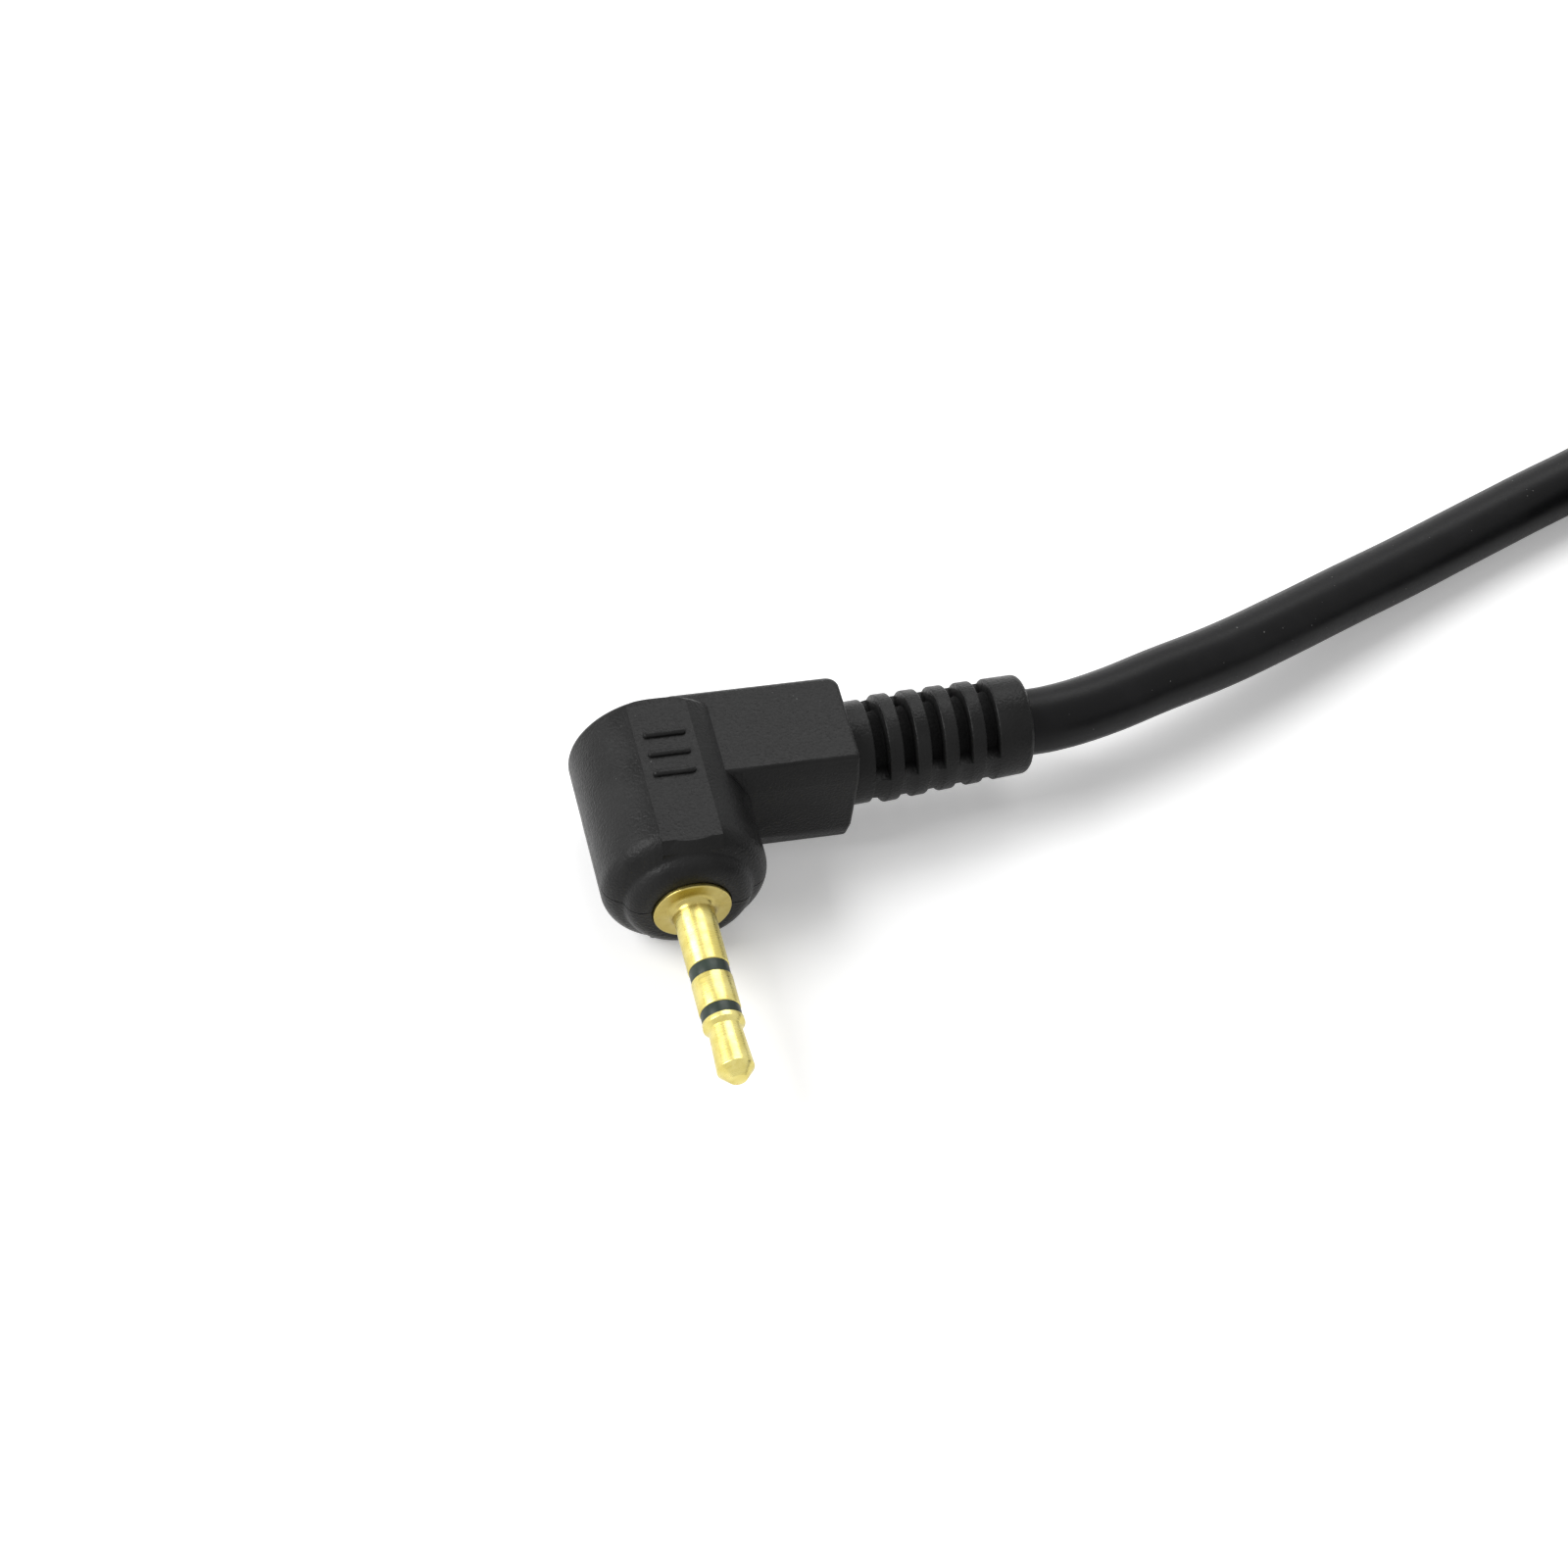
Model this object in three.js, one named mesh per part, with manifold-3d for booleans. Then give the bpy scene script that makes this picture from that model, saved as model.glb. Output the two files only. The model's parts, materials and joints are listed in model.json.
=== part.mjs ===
// Cable shutter release: a hand switch with a two-stage button that can be locked down, a round cord wound
// up for storage, and a right-angle 2.5 mm three-pole plug with a slotted strain relief.
// Millimetres, +Z up. The origin is the middle of the hand switch's underside, and X runs along the switch
// towards its cord. The plug is described about its own pin, then set down beside the switch.

import * as THREE from "three";
import { mergeVertices } from "three/addons/utils/BufferGeometryUtils.js";
import Module from "manifold-3d";

const wasm = await Module();
wasm.setup();

// ---------------------------------------------------------------- sizes

// Fits between pieces
const MOULD_FIT = 0.1; // beside plastic that plugs into plastic
const SLIDE_GAP = 0.15; // under and beside pieces that slide
const METAL_FIT = 0.03; // round turned metal in plastic
const FACE_GAP = 0.3; // between the cord's lengths and what they meet

// Hand switch shells
const SWITCH_LENGTH = 88;
const SWITCH_HEIGHT = 17;
const FRONT_RADIUS = 12;
const REAR_RADIUS = 9.5;
const REAR_FLAT = 9; // width of the flat that the boot sits on
const SHELL_WALL = 1.6;
const SHELL_ROUNDING = 2.4;
const REAR_WALL = 3.2;
const PARTING_HEIGHT = 8;
const TONGUE_WIDTH = 0.7;
const TONGUE_HEIGHT = 1;
const RAIL_WIDTH = 1;
const RAIL_DEPTH = 2.6;

// Button, its lock carriage and its spring
const BUTTON_SETBACK = 28; // from the switch's front end to the button's middle
const BUTTON_LENGTH = 20;
const BUTTON_WIDTH = 11;
const BUTTON_CORNER = 3.2;
const BUTTON_RISE = 1.8;
const BUTTON_ROUNDING = 0.6;
const PRESS_TRAVEL = 2.2;
const LOCK_TRAVEL = 4;
const WINDOW_GAP = 0.35;
const FLANGE_WIDTH = 1.2;
const FLANGE_THICKNESS = 1.2;
const FOOT_OFFSET = 4.5; // behind the button's middle
const FOOT_LENGTH = 2;
const FOOT_WIDTH = 3.2;
const FOOT_GAP = 0.05;
const GRIP_RIBS = 5;
const GRIP_PITCH = 1.8;
const GRIP_RADIUS = 0.45;
const GRIP_LENGTH = 7;
const HOOK_REACH = 2;
const HOOK_WIDTH = 7;
const HOOK_THICKNESS = 0.8;
const RIM_THICKNESS = 0.9;
const PLATE_THICKNESS = 1.2;
const PLATE_COVER = 1.5;
const CHEEK_THICKNESS = 1;
const CHEEK_LENGTH = 8;
const SPRING_OFFSET = 6; // ahead of the button's middle
const SPRING_RADIUS = 2.05;
const SPRING_WIRE = 0.5;
const SPRING_TURNS = 5.5;
const SPRING_POST_HEIGHT = 1.5;
const BRIDGE_HEIGHT = 4;
const BRIDGE_THICKNESS = 1.2;

// Contact stack
const BLOCK_LENGTH = 10;
const BLOCK_WIDTH = 10;
const BLOCK_HEIGHT = 10;
const LOW_BLADE_HEIGHT = 6.5;
const BLADE_PITCH = 1.35;
const BLADE_THICKNESS = 0.25;
const BLADE_WIDTH = 3.6;
const LONG_BLADE_REACH = 6; // past the button's foot
const SHORT_BLADE_GAP = 5.5; // behind the button's foot
const EYE_RADIUS = 0.45;
const EYE_DEPTH = 0.75;
const RIVET_RADIUS = 0.6;
const RIVET_HEIGHT = 0.3;
const RIVET_OFFSET = 2;
const TAG_WIDTH = 2.4;
const TAG_REACH = 5;
const WIRE_ROOM = 8; // from the tags to the cord's stripped end
const LOCATING_RIB = 0.8;
const LOCATING_HEIGHT = 1.5;

// Case screws and cord clamp
const SCREW_RADIUS = 0.9;
const SCREW_HEAD_RADIUS = 1.9;
const SCREW_HEAD_HEIGHT = 1.2;
const SCREW_LENGTH = 13;
const SCREW_SINK = 0.4;
const SCREW_FIT = 0.06;
const RECESS_LENGTH = 2;
const RECESS_WIDTH = 0.45;
const RECESS_DEPTH = 0.6;
const PILLAR_RADIUS = 2.3;
const PILLAR_TOP = 8.6;
const FRONT_SCREW_INSET = 4.8;
const REAR_SCREW_INSET = 11;
const REAR_SCREW_Y = 6.1;
const CLAMP_THICKNESS = 2.8;
const CLAMP_LENGTH = 4.6;
const CLAMP_WIDTH = 15;

// Cord and the switch's boot
const CORD_DIAMETER = 4.1;
const CORD_SIDES = 8;
const WIRE_RADIUS = 0.42;
const TAIL_REACH = 2; // of the cord's jacket past the clamp's middle
const BOOT_LENGTH = 16;
const BOOT_COLLAR_RADIUS = 4.2;
const BOOT_TIP_RADIUS = 2.9;
const BOOT_NECK_RADIUS = 3.3;
const BOOT_FLANGE_RADIUS = 4.6;
const BOOT_FLANGE_THICKNESS = 1.6;
const BOOT_GROOVES = 5;
const BOOT_GROOVE_WIDTH = 0.9;
const BOOT_GROOVE_DEPTH = 0.7;

// Plug body, about its pin: X along the arm, +Y from the pin into the body, Z across the parting line
const HEAD_RADIUS = 5.03;
const HEAD_BACK = 12.5;
const HEAD_FILLET = 1.4;
const HEAD_FILLET_START = 2.6;
const HEAD_EDGE = 0.45;
const BOSS_RADIUS = 3.91;
const BOSS_FRONT = 0.25;
const BOSS_ROUNDING = 1.1;
const GROOVE_DEPTH = 0.25;
const PAD_HALF_WIDTH = 1.82;
const PAD_HEIGHT = 4.7;
const PAD_FRONT = 1.85;
const PAD_BEVEL_Y = 0.55;
const PAD_BEVEL_Z = 0.65;
const RIB_COUNT = 3;
const RIB_FIRST = 6.8;
const RIB_PITCH = 1.46;
const RIB_LENGTH = 2.6;
const RIB_WIDTH = 0.45;
const RIB_HEIGHT = 0.22;
const ARM_CENTRE = 10.18;
const ARM_HALF_DEPTH = 3.75;
const ARM_HALF_HEIGHT = 3.87;
const ARM_CHAMFER_Y = 0.57;
const ARM_FLAT_HALF = 2.2;
const ARM_START = 0.2;
const ARM_START_CORNER = 1.1; // rounding of its upright edge beside the head's back
const ARM_END_CORNER = 0.7;
const ARM_END = 11.54;
const ARM_EDGE = 0.25;
const CORE_RADIUS = 3.25;
const CORE_FRONT = 0.95;
const CORE_BACK = 11;
const MOUTH_RADIUS = 2.42;

// Plug strain relief
const RELIEF_AXIS = 10.2;
const RELIEF_LEAN = 0.064; // it bends away from the pin by this much in each millimetre
const RELIEF_LENGTH = 11.7;
const RELIEF_RADIUS = 3.36;
const RELIEF_TAPER = 0.026;
const RELIEF_NECK_RADIUS = 3.16;
const RELIEF_BORE_FIT = 0.1;
const RELIEF_ROOT_RADIUS = 2.6;
const RELIEF_ROOT_LENGTH = 6;
const RELIEF_WING_THICKNESS = 1.5;
const RELIEF_WING_HALF_DEPTH = 2;
const RELIEF_WING_HALF_HEIGHT = 3.2;
const SLOT_COUNT = 5;
const SLOT_FIRST = 1.4;
const SLOT_PITCH = 1.78;
const SLOT_WIDTH = 0.82;
const SLOT_CORE = 2.45;
const WEB_HALF_HEIGHT = 0.7;
const RING_ROUNDING = 0.18;
const COLLAR_ROUNDING = 0.8;

// Plug contacts, as distances from the flange's front face
const PIN_RADIUS = 1.25;
const PIN_FILLET = 0.45;
const FLANGE_RADIUS = 2.36;
const FLANGE_DEPTH = 0.6;
const BAND_RADIUS = 1.21;
const FIRST_BAND = 4.3;
const SECOND_BAND = 7.32;
const FIRST_BAND_LENGTH = 0.83;
const SECOND_BAND_LENGTH = 0.71;
const TIP_COLLAR_END = 8.37;
const TIP_NECK_RADIUS = 0.99;
const TIP_SHOULDER = 11.39;
const TIP_BULGE_RADIUS = 1.12;
const TIP_END = 12.12;
const TIP_COLLAR_SLOPE = 0.25;
const TIP_EDGE = 0.06;
const TIP_NOSE_RADIUS = 0.45;
const TIP_NOSE_EDGE = 0.2;
const SLEEVE_TAIL_RADIUS = 1.6;
const SLEEVE_TAIL = 3.4;
const SLEEVE_BORE = 0.98;
const RING_STEM_RADIUS = 0.8;
const RING_STEM_TAIL = 5.2;
const INNER_INSULATOR_TAIL = RING_STEM_TAIL + 0.6;
const RING_BORE = 0.6;
const TIP_STEM_RADIUS = 0.42;
const TIP_STEM_TAIL = 7.2;
const INSULATOR_TAIL = 4.2;
const SLEEVE_LUG_REACH = 5.6;
const RING_LUG_REACH = 6.4;
const LUG_THICKNESS = 0.3;
const TURNED_SIDES = 28;
const HEAD_SIDES = 60;
const RELIEF_SIDES = 36;
const SMALL_SIDES = 16;

// Where the plug and the wound cord lie
const PLUG_X = -99;
const PLUG_Y = 31;
const COIL_X = -3.4;
const COIL_Y = 42.5;
const COIL_OUTER_RADIUS = 26.1; // to the cord's middle
const COIL_TURNS = 3.125;
const COIL_START_ANGLE = 112.5;
const COIL_SPACING = 4.6;
const TURN_STEPS = 24;
const TIE_ANGLE = -15;
const TIE_WIDTH = 5;
const TIE_THICKNESS = 0.6;
const TIE_FIT = 0.35;
const TIE_RISE_LENGTH = 13;

// ---------------------------------------------------------------- sizes that follow from the others

const CORD_RADIUS = CORD_DIAMETER / 2;
const SWITCH_FRONT = -SWITCH_LENGTH / 2;
const SWITCH_REAR = SWITCH_LENGTH / 2;
const FRONT_CENTRE = SWITCH_FRONT + FRONT_RADIUS;
const REAR_CENTRE = SWITCH_REAR - Math.sqrt(REAR_RADIUS ** 2 - (REAR_FLAT / 2) ** 2);
const BUTTON_X = SWITCH_FRONT + BUTTON_SETBACK;
const FOOT_X = BUTTON_X + FOOT_OFFSET;
const SPRING_X = BUTTON_X - SPRING_OFFSET;
const REAR_SCREW_X = SWITCH_REAR - REAR_SCREW_INSET;
const TAIL_START = REAR_SCREW_X - TAIL_REACH;
const TAG_END = TAIL_START - WIRE_ROOM;
const BLOCK_REAR = TAG_END - TAG_REACH;
const BLOCK_FRONT = BLOCK_REAR - BLOCK_LENGTH;
const CEILING = SWITCH_HEIGHT - SHELL_WALL;
const PLATE_TOP = CEILING - SLIDE_GAP;
const PLATE_BOTTOM = PLATE_TOP - PLATE_THICKNESS;
const BUTTON_FLANGE_BOTTOM = PLATE_BOTTOM - FLANGE_THICKNESS;
const BUTTON_FRONT = BUTTON_X - BUTTON_LENGTH / 2;
const WINDOW_LENGTH = BUTTON_LENGTH + LOCK_TRAVEL + 2 * WINDOW_GAP;
const WINDOW_CENTRE = BUTTON_X - LOCK_TRAVEL / 2;
const WINDOW_FRONT = WINDOW_CENTRE - WINDOW_LENGTH / 2;
const PLATE_FRONT = WINDOW_FRONT - PLATE_COVER;
const PLATE_REAR = WINDOW_CENTRE + WINDOW_LENGTH / 2 + LOCK_TRAVEL + PLATE_COVER;
const CHEEK_INNER = BUTTON_WIDTH / 2 + FLANGE_WIDTH + SLIDE_GAP;
const CHEEK_OUTER = CHEEK_INNER + CHEEK_THICKNESS;
const BRIDGE_TOP = BRIDGE_HEIGHT + BRIDGE_THICKNESS;
const HOOK_BOTTOM = SWITCH_HEIGHT + SLIDE_GAP;
const BLOCK_TOP = SHELL_WALL + BLOCK_HEIGHT;
const EYE_X = BLOCK_FRONT + EYE_DEPTH;
const LONG_BLADE = EYE_X - FOOT_X + LONG_BLADE_REACH;
const SHORT_BLADE = EYE_X - FOOT_X - SHORT_BLADE_GAP;
const FOCUS_BLADE_HEIGHT = LOW_BLADE_HEIGHT + BLADE_PITCH;
const COMMON_BLADE_HEIGHT = LOW_BLADE_HEIGHT + 2 * BLADE_PITCH;
const FOOT_BOTTOM = COMMON_BLADE_HEIGHT + BLADE_THICKNESS / 2 + FOOT_GAP;
const CLAMP_BOTTOM = PILLAR_TOP;
const CLAMP_TOP = CLAMP_BOTTOM + CLAMP_THICKNESS;
const BOOT_END = SWITCH_REAR + BOOT_LENGTH;
const FRONT_SCREW_X = SWITCH_FRONT + FRONT_SCREW_INSET;
const SLEEVE_END = FIRST_BAND;
const RING_START = FIRST_BAND + FIRST_BAND_LENGTH;
const RING_END = SECOND_BAND;
const TIP_START = SECOND_BAND + SECOND_BAND_LENGTH;
const RELIEF_BORE = CORD_RADIUS + RELIEF_BORE_FIT;
const RELIEF_END = ARM_END + RELIEF_LENGTH;
const RELIEF_ROOT = ARM_END - RELIEF_ROOT_LENGTH;
const COIL_SWEEP = 2 * Math.PI * COIL_TURNS;
const PLUG_HEIGHT = PAD_HEIGHT + RIB_HEIGHT; // the plug lies on its three ribs

// ---------------------------------------------------------------- solids

/** A closed mesh as a solid that can be joined and cut, with its faces turned outwards. */
function solid(geometry) {
  const loose = geometry.index ? geometry.toNonIndexed() : geometry.clone();
  loose.deleteAttribute("normal");
  loose.deleteAttribute("uv");
  const merged = mergeVertices(loose, 1e-4);
  const corners = merged.index.array;
  const at = merged.attributes.position.array;
  const faces = [];
  let volume = 0;
  for (let i = 0; i < corners.length; i += 3) {
    const [a, b, c] = [corners[i], corners[i + 1], corners[i + 2]];
    if (a === b || b === c || a === c) continue;
    faces.push([a, b, c]);
    const [p, q, r] = [a, b, c].map((n) => new THREE.Vector3().fromArray(at, 3 * n));
    volume += p.dot(q.cross(r));
  }
  const outwards = volume < 0 ? faces.map(([a, b, c]) => [a, c, b]) : faces;
  const triVerts = new Uint32Array(outwards.flat());
  return new wasm.Manifold(new wasm.Mesh({ numProp: 3, vertProperties: at, triVerts }));
}

/** All the solids joined in one. */
function joined(...solids) {
  return solids.reduce((all, next) => all.add(next));
}

/** The first solid with the others taken out of it. */
function cut(body, ...tools) {
  return tools.reduce((left, tool) => left.subtract(tool), body);
}

/** A box given by its lowest and highest corners. */
function block(x0, x1, y0, y1, z0, z1) {
  const box = new THREE.BoxGeometry(x1 - x0, y1 - y0, z1 - z0);
  return solid(box.translate((x0 + x1) / 2, (y0 + y1) / 2, (z0 + z1) / 2));
}

/** Turns a geometry made about the Y axis so that it stands about another axis. */
function alongAxis(geometry, axis) {
  if (axis === "x") return geometry.rotateZ(-Math.PI / 2);
  if (axis === "z") return geometry.rotateX(Math.PI / 2);
  return geometry;
}

/** A round bar from `from` to `to` along an axis, its middle at (u, v) on the other two axes. */
function bar(axis, radius, from, to, u, v, sides = TURNED_SIDES) {
  const round = new THREE.CylinderGeometry(radius, radius, to - from, sides);
  const middle = (from + to) / 2;
  const place = { x: [middle, u, v], y: [u, middle, v], z: [u, v, middle] }[axis];
  return solid(alongAxis(round, axis).translate(...place));
}

/** A profile of [radius, distance] pairs turned about an axis through (u, v). */
function turned(axis, profile, u, v, sides = TURNED_SIDES) {
  const points = profile.map(([radius, along]) => new THREE.Vector2(radius, along));
  const lathe = new THREE.LatheGeometry(points, sides);
  const place = { x: [0, u, v], y: [u, 0, v], z: [u, v, 0] }[axis];
  return solid(alongAxis(lathe, axis).translate(...place));
}

/** Points of a quarter circle about (r, a), from one angle to another in degrees. */
function arc(r, a, radius, fromDegrees, toDegrees, steps = 4) {
  return Array.from({ length: steps + 1 }, (_, i) => {
    const angle = THREE.MathUtils.degToRad(fromDegrees + ((toDegrees - fromDegrees) * i) / steps);
    return [r + radius * Math.cos(angle), a + radius * Math.sin(angle)];
  });
}

/** A closed outline from a list of corners. */
function outlineOf(corners) {
  return new THREE.Shape(corners.map(([x, y]) => new THREE.Vector2(x, y)));
}

/** A rectangle with round corners, its middle at (x, 0). */
function roundedRectangle(x, length, width, radius) {
  const [a, b] = [length / 2 - radius, width / 2 - radius];
  const outline = new THREE.Shape();
  outline.absarc(x + a, b, radius, 0, Math.PI / 2, false);
  outline.absarc(x - a, b, radius, Math.PI / 2, Math.PI, false);
  outline.absarc(x - a, -b, radius, Math.PI, 1.5 * Math.PI, false);
  outline.absarc(x + a, -b, radius, 1.5 * Math.PI, 2 * Math.PI, false);
  return outline;
}

/** An outline raised from z0 to z1, with plain edges. */
function raised(outline, z0, z1, curveSegments = 4) {
  const prism = new THREE.ExtrudeGeometry(outline, { depth: z1 - z0, bevelEnabled: false, curveSegments });
  return solid(prism.translate(0, 0, z0));
}

/** A tube of round section along a curve, square to it at both ends. */
function tube(curve, radius, sides, steps) {
  const section = new THREE.Shape().absarc(0, 0, radius, 0, 2 * Math.PI, false);
  const options = { extrudePath: curve, steps, bevelEnabled: false, curveSegments: sides / 2 };
  return solid(new THREE.ExtrudeGeometry(section, options));
}

/** A tube wound through points, its rings kept upright, closed at both ends. */
function woundTube(points, radius, sides) {
  const positions = [];
  const faces = [];
  points.forEach((point, i) => {
    const before = points[Math.max(i - 1, 0)];
    const after = points[Math.min(i + 1, points.length - 1)];
    const along = after.clone().sub(before).normalize();
    const side = new THREE.Vector3().crossVectors(along, new THREE.Vector3(0, 0, 1)).normalize();
    const up = new THREE.Vector3().crossVectors(side, along);
    for (let k = 0; k < sides; k += 1) {
      const angle = (2 * Math.PI * k) / sides + Math.PI / 2;
      const spoke = side.clone().multiplyScalar(radius * Math.cos(angle));
      spoke.addScaledVector(up, radius * Math.sin(angle)).add(point);
      positions.push(spoke.x, spoke.y, spoke.z);
    }
  });
  const last = (points.length - 1) * sides;
  for (let k = 0; k < sides; k += 1) {
    const next = (k + 1) % sides;
    for (let ring = 0; ring < last; ring += sides) {
      faces.push(ring + k, ring + next, ring + sides + k);
      faces.push(ring + next, ring + sides + next, ring + sides + k);
    }
    if (k > 0 && next > 0) {
      faces.push(0, next, k);
      faces.push(last, last + k, last + next);
    }
  }
  const geometry = new THREE.BufferGeometry();
  geometry.setAttribute("position", new THREE.Float32BufferAttribute(positions, 3));
  geometry.setIndex(faces);
  return solid(geometry);
}

/** The least gap between the surfaces of a wound tube's turns, measured on its points. */
function leastGap(points, diameter, stepsApart) {
  let least = Infinity;
  points.forEach((point, i) => {
    for (let j = i + stepsApart; j < points.length; j += 1) {
      least = Math.min(least, point.distanceTo(points[j]));
    }
  });
  return least - diameter;
}

/** A named mesh of a solid. */
function piece(name, body, finish) {
  const { vertProperties, triVerts } = body.getMesh();
  const geometry = new THREE.BufferGeometry();
  geometry.setAttribute("position", new THREE.Float32BufferAttribute(vertProperties, 3));
  geometry.setIndex(new THREE.Uint32BufferAttribute(triVerts, 1));
  geometry.computeVertexNormals();
  const mesh = new THREE.Mesh(geometry, finish.clone());
  mesh.name = name;
  return mesh;
}

// ---------------------------------------------------------------- finishes

function finish(color, roughness, metalness) {
  return new THREE.MeshStandardMaterial({ color, roughness, metalness });
}

const shellPlastic = finish(0x232325, 0.55, 0);
const buttonPlastic = finish(0x34353a, 0.5, 0);
const innerPlastic = finish(0xd9d6cc, 0.6, 0);
const springSteel = finish(0xb9bcc0, 0.35, 1);
const contactBronze = finish(0xc9a15f, 0.35, 1);
const screwSteel = finish(0x3a3b3e, 0.4, 1);
const cordJacket = finish(0x1e1e20, 0.5, 0);
const softRubber = finish(0x1b1b1d, 0.65, 0);
const plugMoulding = finish(0x2b2b2d, 0.55, 0);
const goldPlate = finish(0xe6d27a, 0.22, 1);
const insulatorPlastic = finish(0x2e3b36, 0.45, 0);
const wireInsulation = {
  red: finish(0xb3271f, 0.5, 0),
  white: finish(0xe6e3da, 0.5, 0),
  bare: finish(0xb87645, 0.4, 1),
};

// ---------------------------------------------------------------- hand switch

/** The switch's plan: a round front and a smaller round rear with straight sides, `inset` inside it. */
function switchPlan(inset) {
  const front = FRONT_RADIUS - inset;
  const rear = REAR_RADIUS - inset;
  const side = Math.PI / 2 - Math.asin((FRONT_RADIUS - REAR_RADIUS) / (REAR_CENTRE - FRONT_CENTRE));
  const outline = new THREE.Shape();
  outline.absarc(REAR_CENTRE, 0, rear, -side, side, false);
  outline.absarc(FRONT_CENTRE, 0, front, side, 2 * Math.PI - side, false);
  return outline;
}

/** The space inside the switch's plan between two heights, its top and bottom edges rounded. */
function switchBody(inset, z0, z1, rounding, rear) {
  const options = {
    depth: z1 - z0 - 2 * rounding,
    bevelEnabled: true,
    bevelThickness: rounding,
    bevelSize: rounding,
    bevelSegments: 4,
    curveSegments: 9,
  };
  const rounded = new THREE.ExtrudeGeometry(switchPlan(inset + rounding), options);
  const body = solid(rounded.translate(0, 0, z0 + rounding));
  return body.intersect(block(SWITCH_FRONT - 1, rear, -FRONT_RADIUS - 1, FRONT_RADIUS + 1, z0 - 1, z1 + 1));
}

/** A rim that follows the switch's wall between two insets from its outside. */
function wallStrip(outer, inner, z0, z1) {
  const strip = cut(raised(switchPlan(outer), z0, z1, 9), raised(switchPlan(inner), z0 - 1, z1 + 1, 9));
  return strip.intersect(
    block(SWITCH_FRONT - 1, SWITCH_REAR - outer, -FRONT_RADIUS - 1, FRONT_RADIUS + 1, z0, z1),
  );
}

/** Everything of the switch between two heights. */
function slab(z0, z1) {
  return block(SWITCH_FRONT - 1, SWITCH_REAR + 1, -FRONT_RADIUS - 1, FRONT_RADIUS + 1, z0, z1);
}

function switchShellWalls() {
  const outside = switchBody(0, 0, SWITCH_HEIGHT, SHELL_ROUNDING, SWITCH_REAR);
  const inside = switchBody(
    SHELL_WALL,
    SHELL_WALL,
    CEILING,
    SHELL_ROUNDING - SHELL_WALL,
    SWITCH_REAR - REAR_WALL,
  );
  return { walls: cut(outside, inside), inside };
}

const screwPlaces = [
  ["case_screw_front", FRONT_SCREW_X, 0],
  ["case_screw_left", REAR_SCREW_X, REAR_SCREW_Y],
  ["case_screw_right", REAR_SCREW_X, -REAR_SCREW_Y],
];

/** A countersunk screw's outline, grown by `gap` for the hole that it fits. */
function screwProfile(gap) {
  const headBottom = gap > 0 ? -1 : SCREW_SINK;
  const headTop = SCREW_SINK + SCREW_HEAD_HEIGHT;
  return [
    [0, headBottom],
    [SCREW_HEAD_RADIUS + gap, headBottom],
    [SCREW_HEAD_RADIUS + gap, SCREW_SINK + 0.3],
    [SCREW_RADIUS + gap, headTop + gap],
    [SCREW_RADIUS + gap, SCREW_SINK + SCREW_LENGTH - 0.6 + gap],
    [0, SCREW_SINK + SCREW_LENGTH + gap],
  ];
}

function screwHoles() {
  return screwPlaces.map(([, x, y]) => turned("z", screwProfile(SCREW_FIT), x, y, SMALL_SIDES));
}

function caseScrew(x, y) {
  const recess = (length, width) =>
    block(x - length / 2, x + length / 2, y - width / 2, y + width / 2, 0, SCREW_SINK + RECESS_DEPTH);
  return cut(
    turned("z", screwProfile(0), x, y, SMALL_SIDES),
    joined(recess(RECESS_LENGTH, RECESS_WIDTH), recess(RECESS_WIDTH, RECESS_LENGTH)),
  );
}

function bootHole() {
  return bar(
    "x",
    BOOT_NECK_RADIUS + MOULD_FIT,
    SWITCH_REAR - REAR_WALL - 1,
    SWITCH_REAR + 1,
    0,
    PARTING_HEIGHT,
  );
}

function upperShell() {
  const { walls, inside } = switchShellWalls();
  const half = walls.intersect(
    slab(PARTING_HEIGHT, SWITCH_HEIGHT + 1),
  );
  const window = roundedRectangle(
    WINDOW_CENTRE,
    WINDOW_LENGTH,
    BUTTON_WIDTH + 2 * WINDOW_GAP,
    BUTTON_CORNER + WINDOW_GAP,
  );
  const hookPocket = block(
    WINDOW_FRONT - HOOK_REACH,
    WINDOW_FRONT + BUTTON_CORNER + WINDOW_GAP,
    -HOOK_WIDTH / 2 - WINDOW_GAP,
    HOOK_WIDTH / 2 + WINDOW_GAP,
    CEILING - 1,
    SWITCH_HEIGHT - RIM_THICKNESS,
  );
  const railInner = CHEEK_OUTER + SLIDE_GAP;
  const rails = [-1, 1].map((side) => {
    const [y0, y1] = [side * railInner, side * (railInner + RAIL_WIDTH)].sort((a, b) => a - b);
    return block(PLATE_FRONT - LOCK_TRAVEL / 2, PLATE_REAR, y0, y1, CEILING - RAIL_DEPTH, SWITCH_HEIGHT - 1);
  });
  const pillars = screwPlaces.map(([name, x, y]) => {
    const from = name === "case_screw_front" ? PILLAR_TOP : CLAMP_TOP;
    return bar("z", PILLAR_RADIUS, from, SWITCH_HEIGHT - 1, x, y, SMALL_SIDES);
  });
  const blockPress = block(
    BLOCK_FRONT + 2,
    BLOCK_REAR - 2,
    -BLOCK_WIDTH / 2,
    BLOCK_WIDTH / 2,
    BLOCK_TOP,
    SWITCH_HEIGHT - 1,
  );
  const groove = wallStrip(
    SHELL_WALL - TONGUE_WIDTH - MOULD_FIT,
    SHELL_WALL + 1,
    PARTING_HEIGHT - 1,
    PARTING_HEIGHT + TONGUE_HEIGHT + MOULD_FIT,
  );
  const furniture = joined(...rails, ...pillars, blockPress).intersect(joined(inside, walls));
  return cut(
    joined(cut(half, groove), furniture.intersect(slab(PILLAR_TOP, SWITCH_HEIGHT))),
    raised(window, CEILING - 1, SWITCH_HEIGHT + 1),
    hookPocket,
    bootHole(),
    ...screwHoles(),
  );
}

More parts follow.
